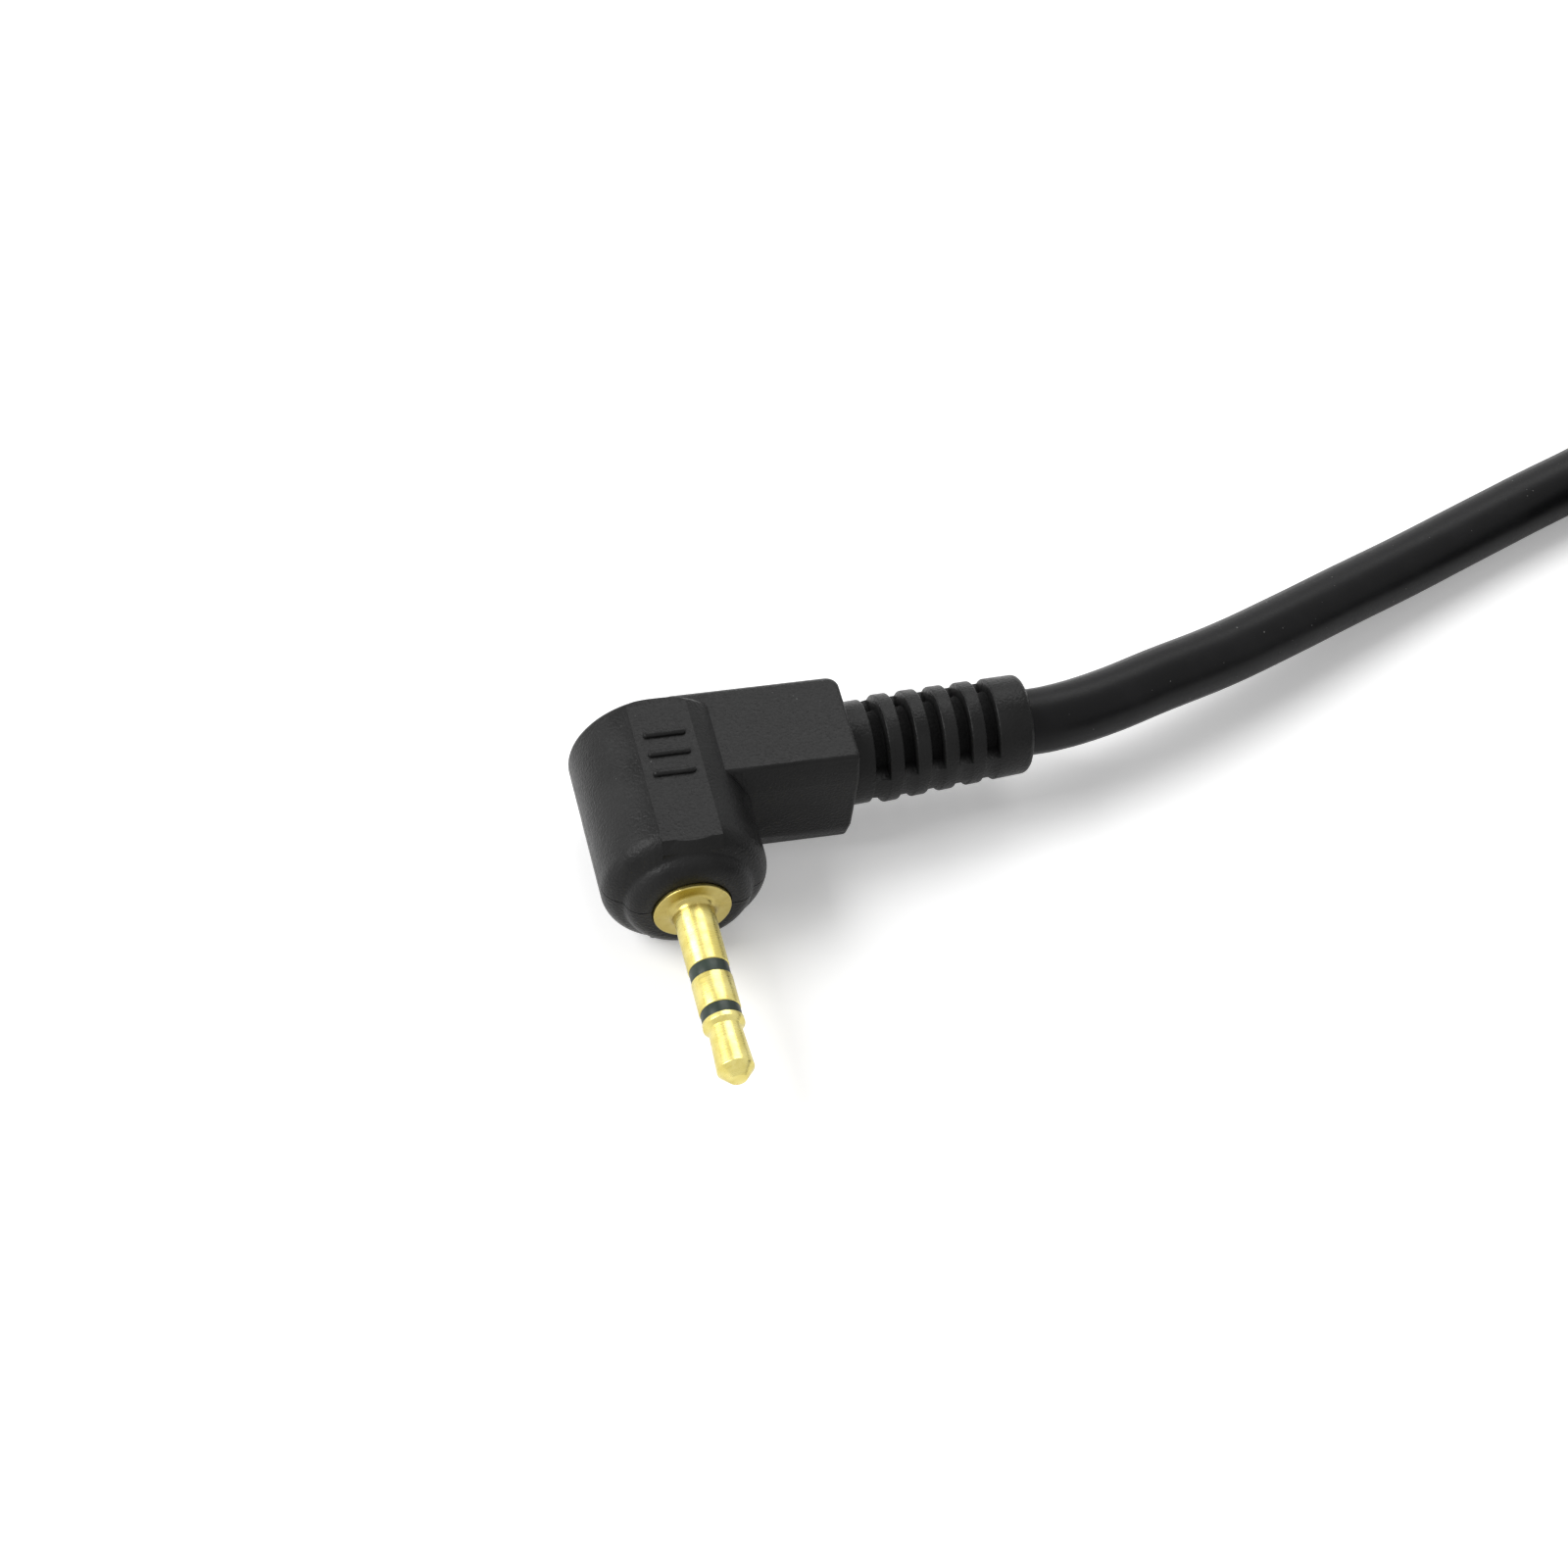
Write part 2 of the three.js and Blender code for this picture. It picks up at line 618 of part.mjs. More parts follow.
function lowerShell() {
  const { walls, inside } = switchShellWalls();
  const half = walls.intersect(slab(-1, PARTING_HEIGHT));
  const tongue = wallStrip(
    SHELL_WALL - TONGUE_WIDTH,
    SHELL_WALL,
    PARTING_HEIGHT - 1,
    PARTING_HEIGHT + TONGUE_HEIGHT,
  );
  const pillars = screwPlaces.map(([, x, y]) => bar("z", PILLAR_RADIUS, 1, PILLAR_TOP, x, y, SMALL_SIDES));
  const cradle = block(REAR_SCREW_X - 1, REAR_SCREW_X + 1, -REAR_SCREW_Y, REAR_SCREW_Y, 1, PARTING_HEIGHT);
  const fence = cut(
    block(
      BLOCK_FRONT - LOCATING_RIB - MOULD_FIT,
      BLOCK_REAR + LOCATING_RIB + MOULD_FIT,
      -BLOCK_WIDTH / 2 - LOCATING_RIB - MOULD_FIT,
      BLOCK_WIDTH / 2 + LOCATING_RIB + MOULD_FIT,
      1,
      SHELL_WALL + LOCATING_HEIGHT,
    ),
    block(
      BLOCK_FRONT - MOULD_FIT,
      BLOCK_REAR + MOULD_FIT,
      -BLOCK_WIDTH / 2 - MOULD_FIT,
      BLOCK_WIDTH / 2 + MOULD_FIT,
      SHELL_WALL,
      SHELL_WALL + LOCATING_HEIGHT + 1,
    ),
  );
  const furniture = joined(...pillars, cradle, fence).intersect(joined(inside, walls));
  const cordSeat = bar("x", CORD_RADIUS + METAL_FIT, REAR_SCREW_X - 3, REAR_SCREW_X + 3, 0, PARTING_HEIGHT);
  return cut(joined(half, tongue, furniture), cordSeat, bootHole(), ...screwHoles());
}

function releaseButton() {
  const top = SWITCH_HEIGHT + BUTTON_RISE;
  const plan = roundedRectangle(
    BUTTON_X,
    BUTTON_LENGTH - 2 * BUTTON_ROUNDING,
    BUTTON_WIDTH - 2 * BUTTON_ROUNDING,
    BUTTON_CORNER - BUTTON_ROUNDING,
  );
  const cap = new THREE.ExtrudeGeometry(plan, {
    depth: top - BUTTON_FLANGE_BOTTOM - 2 * BUTTON_ROUNDING,
    bevelEnabled: true,
    bevelThickness: BUTTON_ROUNDING,
    bevelSize: BUTTON_ROUNDING,
    bevelSegments: 3,
    curveSegments: 4,
  });
  cap.translate(0, 0, BUTTON_FLANGE_BOTTOM + BUTTON_ROUNDING);
  const flange = roundedRectangle(
    BUTTON_X,
    BUTTON_LENGTH + 2 * FLANGE_WIDTH,
    BUTTON_WIDTH + 2 * FLANGE_WIDTH,
    BUTTON_CORNER,
  );
  const ribs = Array.from({ length: GRIP_RIBS }, (_, i) => {
    const x = BUTTON_X + (i - (GRIP_RIBS - 1) / 2) * GRIP_PITCH;
    return bar("y", GRIP_RADIUS, -GRIP_LENGTH / 2, GRIP_LENGTH / 2, x, top, 8);
  });
  const foot = block(
    FOOT_X - FOOT_LENGTH / 2,
    FOOT_X + FOOT_LENGTH / 2,
    -FOOT_WIDTH / 2,
    FOOT_WIDTH / 2,
    FOOT_BOTTOM,
    BUTTON_FLANGE_BOTTOM + 1,
  );
  const hook = block(
    BUTTON_FRONT - HOOK_REACH,
    BUTTON_FRONT + BUTTON_ROUNDING,
    -HOOK_WIDTH / 2,
    HOOK_WIDTH / 2,
    HOOK_BOTTOM,
    HOOK_BOTTOM + HOOK_THICKNESS,
  );
  return joined(solid(cap), raised(flange, BUTTON_FLANGE_BOTTOM, PLATE_BOTTOM), foot, hook, ...ribs);
}

function lockCarriage() {
  const plate = raised(
    roundedRectangle((PLATE_FRONT + PLATE_REAR) / 2, PLATE_REAR - PLATE_FRONT, 2 * CHEEK_OUTER, 4),
    PLATE_BOTTOM,
    PLATE_TOP,
  );
  const capHole = roundedRectangle(
    BUTTON_X,
    BUTTON_LENGTH + 2 * SLIDE_GAP,
    BUTTON_WIDTH + 2 * SLIDE_GAP,
    BUTTON_CORNER + SLIDE_GAP,
  );
  const hookPocket = block(
    BUTTON_FRONT - HOOK_REACH - SLIDE_GAP,
    BUTTON_X,
    -HOOK_WIDTH / 2 - SLIDE_GAP,
    HOOK_WIDTH / 2 + SLIDE_GAP,
    HOOK_BOTTOM - PRESS_TRAVEL - SLIDE_GAP,
    PLATE_TOP + 1,
  );
  const cage = block(
    SPRING_X - CHEEK_LENGTH / 2,
    SPRING_X + CHEEK_LENGTH / 2,
    -CHEEK_OUTER,
    CHEEK_OUTER,
    BRIDGE_HEIGHT,
    PLATE_BOTTOM + PLATE_THICKNESS / 2,
  );
  const cageInside = block(
    SPRING_X - CHEEK_LENGTH,
    SPRING_X + CHEEK_LENGTH,
    -CHEEK_INNER,
    CHEEK_INNER,
    BRIDGE_TOP,
    PLATE_BOTTOM,
  );
  const post = bar(
    "z",
    SPRING_RADIUS - SPRING_WIRE,
    BRIDGE_TOP - 0.5,
    BRIDGE_TOP + SPRING_POST_HEIGHT,
    SPRING_X,
    0,
    12,
  );
  return cut(
    joined(plate, cut(cage, cageInside), post),
    raised(capHole, PLATE_BOTTOM - 1, PLATE_TOP + 1),
    hookPocket,
  );
}

function springPoints() {
  const start = BRIDGE_TOP + SPRING_WIRE / 2 + METAL_FIT;
  const end = BUTTON_FLANGE_BOTTOM - SPRING_WIRE / 2 - METAL_FIT;
  const steps = 8 * SPRING_TURNS;
  return Array.from({ length: steps + 1 }, (_, i) => {
    const angle = (2 * Math.PI * i) / 8;
    return new THREE.Vector3(
      SPRING_X + SPRING_RADIUS * Math.cos(angle),
      SPRING_RADIUS * Math.sin(angle),
      start + ((end - start) * i) / steps,
    );
  });
}

function contactBlock() {
  const body = block(
    BLOCK_FRONT,
    BLOCK_REAR,
    -BLOCK_WIDTH / 2,
    BLOCK_WIDTH / 2,
    SHELL_WALL,
    BLOCK_TOP,
  );
  const pockets = [FOCUS_BLADE_HEIGHT, COMMON_BLADE_HEIGHT].map((z) => {
    const halfWidth = BLADE_WIDTH / 2 + MOULD_FIT;
    const mouth = EYE_RADIUS - MOULD_FIT;
    return joined(
      bar("y", EYE_RADIUS + METAL_FIT, -halfWidth, halfWidth, EYE_X, z, SMALL_SIDES),
      block(BLOCK_FRONT - 1, EYE_X, -halfWidth, halfWidth, z - mouth, z + mouth),
      tagSlot(z),
    );
  });
  const lowSlot = block(
    BLOCK_FRONT - 1,
    BLOCK_REAR + 1,
    -BLADE_WIDTH / 2 - METAL_FIT,
    BLADE_WIDTH / 2 + METAL_FIT,
    LOW_BLADE_HEIGHT - BLADE_THICKNESS / 2,
    LOW_BLADE_HEIGHT + BLADE_THICKNESS / 2 + METAL_FIT,
  );
  return cut(body, ...pockets, lowSlot);
}

/** The slot that a solder tag is pushed into from behind. */
function tagSlot(z) {
  return block(
    EYE_X,
    BLOCK_REAR + 1,
    -TAG_WIDTH / 2 - METAL_FIT,
    TAG_WIDTH / 2 + METAL_FIT,
    z - BLADE_THICKNESS / 2,
    z + BLADE_THICKNESS / 2 + METAL_FIT,
  );
}

function solderTag(z) {
  return block(
    EYE_X + EYE_RADIUS + MOULD_FIT,
    TAG_END,
    -TAG_WIDTH / 2,
    TAG_WIDTH / 2,
    z - BLADE_THICKNESS / 2,
    z + BLADE_THICKNESS / 2,
  );
}

/** A rivet on top of a blade, where the blade above it touches. */
function rivet(z) {
  const top = z + BLADE_THICKNESS / 2;
  const x = EYE_X - SHORT_BLADE + RIVET_OFFSET;
  return bar("z", RIVET_RADIUS, top - 0.05, top + RIVET_HEIGHT, x, 0, 10);
}

function strip(x0, x1, z) {
  return block(
    x0,
    x1,
    -BLADE_WIDTH / 2,
    BLADE_WIDTH / 2,
    z - BLADE_THICKNESS / 2,
    z + BLADE_THICKNESS / 2,
  );
}

/** A moving blade with the rolled eye that it turns on. */
function blade(length, z) {
  const eye = bar("y", EYE_RADIUS, -BLADE_WIDTH / 2, BLADE_WIDTH / 2, EYE_X, z, SMALL_SIDES);
  return joined(strip(EYE_X - length, EYE_X, z), eye);
}

function cordClamp() {
  const plate = block(
    REAR_SCREW_X - CLAMP_LENGTH / 2,
    REAR_SCREW_X + CLAMP_LENGTH / 2,
    -CLAMP_WIDTH / 2,
    CLAMP_WIDTH / 2,
    CLAMP_BOTTOM,
    CLAMP_TOP,
  );
  const [saddleStart, saddleEnd] = [REAR_SCREW_X - CLAMP_LENGTH, REAR_SCREW_X + CLAMP_LENGTH];
  const saddle = bar("x", CORD_RADIUS + METAL_FIT, saddleStart, saddleEnd, 0, PARTING_HEIGHT);
  return cut(plate, saddle, ...screwHoles());
}

/** The rubber boot, with a flange inside the shells, a neck through them and a ringed taper outside. */
function switchBoot() {
  const bore = CORD_RADIUS + RELIEF_BORE_FIT;
  const inner = SWITCH_REAR - REAR_WALL;
  const collar = 2.2;
  const radiusAt = (x) =>
    THREE.MathUtils.mapLinear(x, SWITCH_REAR + collar, BOOT_END, BOOT_COLLAR_RADIUS, BOOT_TIP_RADIUS);
  const pitch = (BOOT_LENGTH - collar - 2) / BOOT_GROOVES;
  const profile = [
    [bore, inner - BOOT_FLANGE_THICKNESS],
    [BOOT_FLANGE_RADIUS, inner - BOOT_FLANGE_THICKNESS],
    [BOOT_FLANGE_RADIUS, inner],
    [BOOT_NECK_RADIUS, inner],
    [BOOT_NECK_RADIUS, SWITCH_REAR],
    [BOOT_COLLAR_RADIUS - 0.3, SWITCH_REAR],
    [BOOT_COLLAR_RADIUS, SWITCH_REAR + 0.3],
  ];
  for (let i = 0; i < BOOT_GROOVES; i += 1) {
    const x = SWITCH_REAR + collar + i * pitch;
    profile.push([radiusAt(x), x]);
    profile.push([radiusAt(x) - BOOT_GROOVE_DEPTH, x]);
    profile.push([radiusAt(x) - BOOT_GROOVE_DEPTH, x + BOOT_GROOVE_WIDTH]);
    profile.push([radiusAt(x + BOOT_GROOVE_WIDTH), x + BOOT_GROOVE_WIDTH]);
  }
  profile.push([radiusAt(BOOT_END - 0.4), BOOT_END - 0.4]);
  profile.push([BOOT_TIP_RADIUS - 0.4, BOOT_END]);
  profile.push([bore, BOOT_END]);
  profile.push([bore, inner - BOOT_FLANGE_THICKNESS]);
  return turned("x", profile, 0, PARTING_HEIGHT);
}

/** An insulated wire through points, as [x, y, z]. */
function wire(points) {
  const curve = new THREE.CatmullRomCurve3(points.map((p) => new THREE.Vector3(...p)));
  return tube(curve, WIRE_RADIUS, 6, 10);
}

/** A wire inside the switch, from a solder tag to the cord's stripped end. */
function switchWire(tagHeight, y, z) {
  const [start, end] = [TAG_END + FACE_GAP, TAIL_START - FACE_GAP];
  const quarter = (end - start) / 4;
  return wire([
    [start, 0, tagHeight],
    [start + quarter, 0, tagHeight],
    [end - quarter, y, PARTING_HEIGHT + z],
    [end, y, PARTING_HEIGHT + z],
  ]);
}

function handSwitch() {
  const group = new THREE.Group();
  const tail = bar("x", CORD_RADIUS, TAIL_START, BOOT_END, 0, PARTING_HEIGHT);
  const spring = springPoints();
  console.log(`return spring: least gap ${leastGap(spring, SPRING_WIRE, 6).toFixed(2)} mm`);
  group.add(
    piece("upper_shell", upperShell(), shellPlastic),
    piece("lower_shell", lowerShell(), shellPlastic),
    piece("release_button", releaseButton(), buttonPlastic),
    piece("lock_carriage", lockCarriage(), buttonPlastic),
    piece("return_spring", woundTube(spring, SPRING_WIRE / 2, 5), springSteel),
    piece("contact_block", contactBlock(), innerPlastic),
    piece("common_contact", blade(LONG_BLADE, COMMON_BLADE_HEIGHT), contactBronze),
    piece(
      "focus_contact",
      joined(blade(SHORT_BLADE, FOCUS_BLADE_HEIGHT), rivet(FOCUS_BLADE_HEIGHT)),
      contactBronze,
    ),
    piece(
      "shutter_contact",
      joined(strip(EYE_X - SHORT_BLADE, TAG_END, LOW_BLADE_HEIGHT), rivet(LOW_BLADE_HEIGHT)),
      contactBronze,
    ),
    piece("common_solder_tag", solderTag(COMMON_BLADE_HEIGHT), contactBronze),
    piece("focus_solder_tag", solderTag(FOCUS_BLADE_HEIGHT), contactBronze),
    piece("cord_clamp", cordClamp(), innerPlastic),
    piece("switch_boot", switchBoot(), softRubber),
    piece("switch_cord_tail", tail, cordJacket),
    piece("switch_wire_common", switchWire(COMMON_BLADE_HEIGHT, 0, 1.1), wireInsulation.bare),
    piece("switch_wire_focus", switchWire(FOCUS_BLADE_HEIGHT, 0.9, -0.5), wireInsulation.white),
    piece("switch_wire_shutter", switchWire(LOW_BLADE_HEIGHT, -0.9, -0.5), wireInsulation.red),
  );
  screwPlaces.forEach(([name, x, y]) => group.add(piece(name, caseScrew(x, y), screwSteel)));
  return group;
}

// ---------------------------------------------------------------- plug

/** The round head with its boss, before the flats. */
function plugHead() {
  const filletRadius = HEAD_RADIUS - HEAD_FILLET;
  const profile = [
    [0, BOSS_FRONT],
    [BOSS_RADIUS - BOSS_ROUNDING, BOSS_FRONT],
    ...arc(BOSS_RADIUS - BOSS_ROUNDING, BOSS_FRONT + BOSS_ROUNDING, BOSS_ROUNDING, -75, 0, 5),
    [BOSS_RADIUS - GROOVE_DEPTH, BOSS_FRONT + BOSS_ROUNDING + GROOVE_DEPTH],
    ...arc(filletRadius, HEAD_FILLET_START, HEAD_FILLET, -68, 0, 6),
    [HEAD_RADIUS, HEAD_BACK - HEAD_EDGE],
    [HEAD_RADIUS - HEAD_EDGE, HEAD_BACK],
    [0, HEAD_BACK],
  ];
  const round = turned("y", profile, 0, 0, HEAD_SIDES);
  return round.intersect(
    block(-HEAD_RADIUS - 1, HEAD_RADIUS + 1, -1, HEAD_BACK + 1, -PAD_HEIGHT, PAD_HEIGHT),
  );
}

/** The flat pad that carries the ribs, on both sides, bevelled where it meets the boss. */
function headPad() {
  const section = outlineOf([
    [PAD_FRONT, PAD_HEIGHT],
    [PAD_FRONT - PAD_BEVEL_Y, PAD_HEIGHT - PAD_BEVEL_Z],
    [PAD_FRONT - PAD_BEVEL_Y, -PAD_HEIGHT + PAD_BEVEL_Z],
    [PAD_FRONT, -PAD_HEIGHT],
    [HEAD_BACK - HEAD_EDGE, -PAD_HEIGHT],
    [HEAD_BACK - HEAD_EDGE, PAD_HEIGHT],
  ]);
  return acrossX(section, -PAD_HALF_WIDTH, PAD_HALF_WIDTH);
}

/** An outline drawn in Y and Z, extruded along X between two places. */
function acrossX(section, x0, x1, bevel = 0) {
  const options = {
    depth: x1 - x0 - 2 * bevel,
    bevelEnabled: bevel > 0,
    bevelThickness: bevel,
    bevelSize: bevel,
    bevelSegments: 1,
    curveSegments: 8,
  };
  const prism = new THREE.ExtrudeGeometry(section, options);
  prism.translate(0, 0, bevel).rotateY(Math.PI / 2).rotateX(Math.PI / 2);
  return solid(prism.translate(x0, 0, 0));
}

/** The eight-cornered arm that the cord comes in through. */
function plugArm() {
  const [depth, height] = [ARM_HALF_DEPTH - ARM_EDGE, ARM_HALF_HEIGHT - ARM_EDGE];
  const corners = [
    [depth, ARM_FLAT_HALF],
    [depth - ARM_CHAMFER_Y, height],
    [-depth + ARM_CHAMFER_Y, height],
    [-depth, ARM_FLAT_HALF],
    [-depth, -ARM_FLAT_HALF],
    [-depth + ARM_CHAMFER_Y, -height],
    [depth - ARM_CHAMFER_Y, -height],
    [depth, -ARM_FLAT_HALF],
  ];
  const section = outlineOf(corners.map(([y, z]) => [ARM_CENTRE + y, z]));
  return cut(
    acrossX(section, ARM_START, ARM_END, ARM_EDGE),
    armCorner(ARM_START, 1, ARM_START_CORNER),
    armCorner(ARM_END, -1, ARM_END_CORNER),
  );
}

/** What rounds an upright edge on the arm's far side; `inwards` points from the edge into the arm. */
function armCorner(edge, inwards, radius) {
  const back = ARM_CENTRE + ARM_HALF_DEPTH;
  const reach = ARM_HALF_HEIGHT + 1;
  const [x0, x1] = [edge - inwards, edge + inwards * radius].sort((a, b) => a - b);
  return cut(
    block(x0, x1, back - radius, back + 1, -reach, reach),
    bar("z", radius, -reach - 1, reach + 1, edge + inwards * radius, back - radius),
  );
}

function padRibs() {
  return [-1, 1].flatMap((side) =>
    Array.from({ length: RIB_COUNT }, (_, i) => {
      const y = RIB_FIRST + i * RIB_PITCH;
      const [z0, z1] = [side * (PAD_HEIGHT - 0.3), side * (PAD_HEIGHT + RIB_HEIGHT)].sort((a, b) => a - b);
      return block(-RIB_LENGTH / 2, RIB_LENGTH / 2, y - RIB_WIDTH / 2, y + RIB_WIDTH / 2, z0, z1);
    }),
  );
}

/** The root of the strain relief with its anchoring wings, grown by `gap` for the pocket that it fills. */
function reliefRoot(gap) {
  return joined(
    bar("x", RELIEF_ROOT_RADIUS + gap, RELIEF_ROOT - gap, ARM_END, RELIEF_AXIS, 0),
    block(
      RELIEF_ROOT - gap,
      RELIEF_ROOT + RELIEF_WING_THICKNESS + gap,
      RELIEF_AXIS - RELIEF_WING_HALF_DEPTH - gap,
      RELIEF_AXIS + RELIEF_WING_HALF_DEPTH + gap,
      -RELIEF_WING_HALF_HEIGHT - gap,
      RELIEF_WING_HALF_HEIGHT + gap,
    ),
  );
}

function plugHousing() {
  return cut(
    joined(plugHead(), headPad(), plugArm(), ...padRibs()),
    bar("y", MOUTH_RADIUS, -1, CORE_FRONT + 0.1, 0, 0),
    bar("y", CORE_RADIUS, CORE_FRONT, CORE_BACK, 0, 0),
    bar("x", CORD_RADIUS + METAL_FIT, 0, ARM_END, RELIEF_AXIS, 0),
    reliefRoot(METAL_FIT),
  );
}

/** Leans what lies past the arm's end away from the pin, its sections kept upright. */
function leaned(body) {
  const lean = new THREE.Matrix4().makeShear(RELIEF_LEAN, 0, 0, 0, 0, 0);
  lean.setPosition(0, -RELIEF_LEAN * ARM_END, 0);
  return body.transform(lean.toArray());
}

function plugRelief() {
  const radiusAt = (x) => RELIEF_RADIUS - RELIEF_TAPER * (x - ARM_END);
  const slotStart = (i) => ARM_END + SLOT_FIRST + i * SLOT_PITCH;
  const profile = [
    [0, ARM_END],
    [RELIEF_NECK_RADIUS, ARM_END],
    [RELIEF_NECK_RADIUS, slotStart(0) - 0.45],
  ];
  for (let i = 0; i < SLOT_COUNT; i += 1) {
    const x = slotStart(i);
    if (i > 0) profile.push([radiusAt(x - RING_ROUNDING), x - RING_ROUNDING]);
    profile.push([radiusAt(x) - RING_ROUNDING, x]);
    profile.push([radiusAt(x) - RING_ROUNDING, x + SLOT_WIDTH]);
    profile.push([radiusAt(x + SLOT_WIDTH), x + SLOT_WIDTH + RING_ROUNDING]);
  }
  const collarRadius = radiusAt(RELIEF_END);
  profile.push(...arc(collarRadius - COLLAR_ROUNDING, RELIEF_END - COLLAR_ROUNDING, COLLAR_ROUNDING, 0, 90));
  profile.push([0, RELIEF_END]);
  const slots = Array.from({ length: SLOT_COUNT }, (_, i) => {
    const [x0, x1] = [slotStart(i), slotStart(i) + SLOT_WIDTH];
    const wide = RELIEF_RADIUS + 1;
    const windows = [-1, 1].map((side) => {
      const [z0, z1] = [side * WEB_HALF_HEIGHT, side * wide].sort((a, b) => a - b);
      return block(x0, x1, RELIEF_AXIS - wide, RELIEF_AXIS + wide, z0, z1);
    });
    return cut(joined(...windows), bar("x", SLOT_CORE, x0 - 1, x1 + 1, RELIEF_AXIS, 0, RELIEF_SIDES));
  });
  const bore = bar("x", RELIEF_BORE, RELIEF_ROOT - 1, RELIEF_END + 1, RELIEF_AXIS, 0);
  const outside = cut(turned("x", profile, RELIEF_AXIS, 0, RELIEF_SIDES), ...slots, bore);
  return joined(leaned(outside), cut(reliefRoot(0), bore));
}

/** The length of the cord inside the plug, from its stripped end to the strain relief's end. */
function plugTail() {
  const start = CORE_RADIUS + FACE_GAP;
  const inside = bar("x", CORD_RADIUS, start, ARM_END, RELIEF_AXIS, 0);
  return joined(inside, leaned(bar("x", CORD_RADIUS, ARM_END, RELIEF_END, RELIEF_AXIS, 0)));
}

/** A turned contact or insulator: distances are counted from the flange, negative along the pin. */
function pinPart(profile) {
  return turned("y", profile, 0, 0, TURNED_SIDES);
}

function sleeveContact() {
  const bend = PIN_FILLET * (1 - Math.SQRT1_2);
  const body = pinPart([
    [SLEEVE_BORE, -SLEEVE_END],
    [PIN_RADIUS, -SLEEVE_END],
    [PIN_RADIUS, -PIN_FILLET],
    [PIN_RADIUS + bend, -bend],
    [PIN_RADIUS + PIN_FILLET, 0],
    [FLANGE_RADIUS, 0],
    [FLANGE_RADIUS, FLANGE_DEPTH],
    [SLEEVE_TAIL_RADIUS, FLANGE_DEPTH],
    [SLEEVE_TAIL_RADIUS, SLEEVE_TAIL],
    [SLEEVE_BORE, SLEEVE_TAIL],
    [SLEEVE_BORE, -SLEEVE_END],
  ]);
  const lug = block(
    -SLEEVE_TAIL_RADIUS + 0.05,
    -SLEEVE_TAIL_RADIUS + 0.05 + LUG_THICKNESS,
    SLEEVE_TAIL - 0.3,
    SLEEVE_LUG_REACH,
    -0.5,
    0.5,
  );
  return joined(body, lug);
}

function ringContact() {
  const body = pinPart([
    [RING_BORE, -RING_END],
    [PIN_RADIUS, -RING_END],
    [PIN_RADIUS, -RING_START],
    [RING_STEM_RADIUS, -RING_START],
    [RING_STEM_RADIUS, RING_STEM_TAIL],
    [RING_BORE, RING_STEM_TAIL],
    [RING_BORE, -RING_END],
  ]);
  const lug = block(
    -0.4,
    0.4,
    RING_STEM_TAIL - 0.4,
    RING_LUG_REACH,
    RING_BORE + 0.05,
    RING_BORE + 0.05 + LUG_THICKNESS,
  );
  return joined(body, lug);
}

function tipContact() {
  return pinPart([
    [0, -TIP_END],
    [TIP_NOSE_RADIUS, -TIP_END],
    [TIP_NOSE_RADIUS + TIP_NOSE_EDGE, -TIP_END + TIP_NOSE_EDGE / 2],
    [TIP_BULGE_RADIUS - TIP_EDGE, -TIP_SHOULDER],
    [TIP_BULGE_RADIUS, -TIP_SHOULDER + TIP_EDGE],
    [TIP_NECK_RADIUS, -TIP_COLLAR_END - TIP_COLLAR_SLOPE],
    [PIN_RADIUS - TIP_EDGE, -TIP_COLLAR_END],
    [PIN_RADIUS, -TIP_COLLAR_END + TIP_EDGE],
    [PIN_RADIUS, -TIP_START],
    [TIP_STEM_RADIUS, -TIP_START],
    [TIP_STEM_RADIUS, TIP_STEM_TAIL],
    [0, TIP_STEM_TAIL],
  ]);
}

/** An insulator: a band that shows on the pin and the tube behind it that keeps two contacts apart. */
function insulator(bandStart, bandLength, outer, inner, tail) {
  return pinPart([
    [inner, -bandStart - bandLength],
    [BAND_RADIUS, -bandStart - bandLength],
    [BAND_RADIUS, -bandStart],
    [outer, -bandStart],
    [outer, tail],
    [inner, tail],
    [inner, -bandStart - bandLength],
  ]);
}

/** The inner moulding that the sleeve's flange is seated on. */
function pinHolder() {
  return pinPart([
    [SLEEVE_TAIL_RADIUS + METAL_FIT, FLANGE_DEPTH],
    [MOUTH_RADIUS - METAL_FIT, FLANGE_DEPTH],
    [MOUTH_RADIUS - METAL_FIT, CORE_FRONT + 0.1],
    [CORE_RADIUS - METAL_FIT, CORE_FRONT + 0.1],
    [CORE_RADIUS - METAL_FIT, SLEEVE_TAIL],
    [SLEEVE_TAIL_RADIUS + METAL_FIT, SLEEVE_TAIL],
    [SLEEVE_TAIL_RADIUS + METAL_FIT, FLANGE_DEPTH],
  ]);
}

function plugWires() {
  const x = CORE_RADIUS;
  return {
    sleeve: wire([
      [x, RELIEF_AXIS + 0.5, -0.8],
      [x - 1, RELIEF_AXIS + 0.5, -1],
      [0, RELIEF_AXIS - 0.1, -1.6],
      [-1.5, RELIEF_AXIS - 1.6, -1.1],
      [-1.7, SLEEVE_LUG_REACH + 1.4, -0.2],
      [-1.45, SLEEVE_LUG_REACH + FACE_GAP, 0],
    ]),
    ring: wire([
      [x, RELIEF_AXIS + 0.5, 0.8],
      [x - 1, RELIEF_AXIS + 0.4, 1],
      [0.9, RELIEF_AXIS - 0.6, 1.6],
      [0.1, RELIEF_AXIS - 2, 1.3],
      [0, RING_LUG_REACH + FACE_GAP, RING_BORE + 0.2],
    ]),
    tip: wire([
      [x, RELIEF_AXIS - 1, 0],
      [x - 1, RELIEF_AXIS - 1.05, 0],
      [0.9, RELIEF_AXIS - 1.3, -0.1],
      [0.1, TIP_STEM_TAIL + 0.9, -0.2],
      [0, TIP_STEM_TAIL + FACE_GAP, -0.2],
    ]),
  };
}

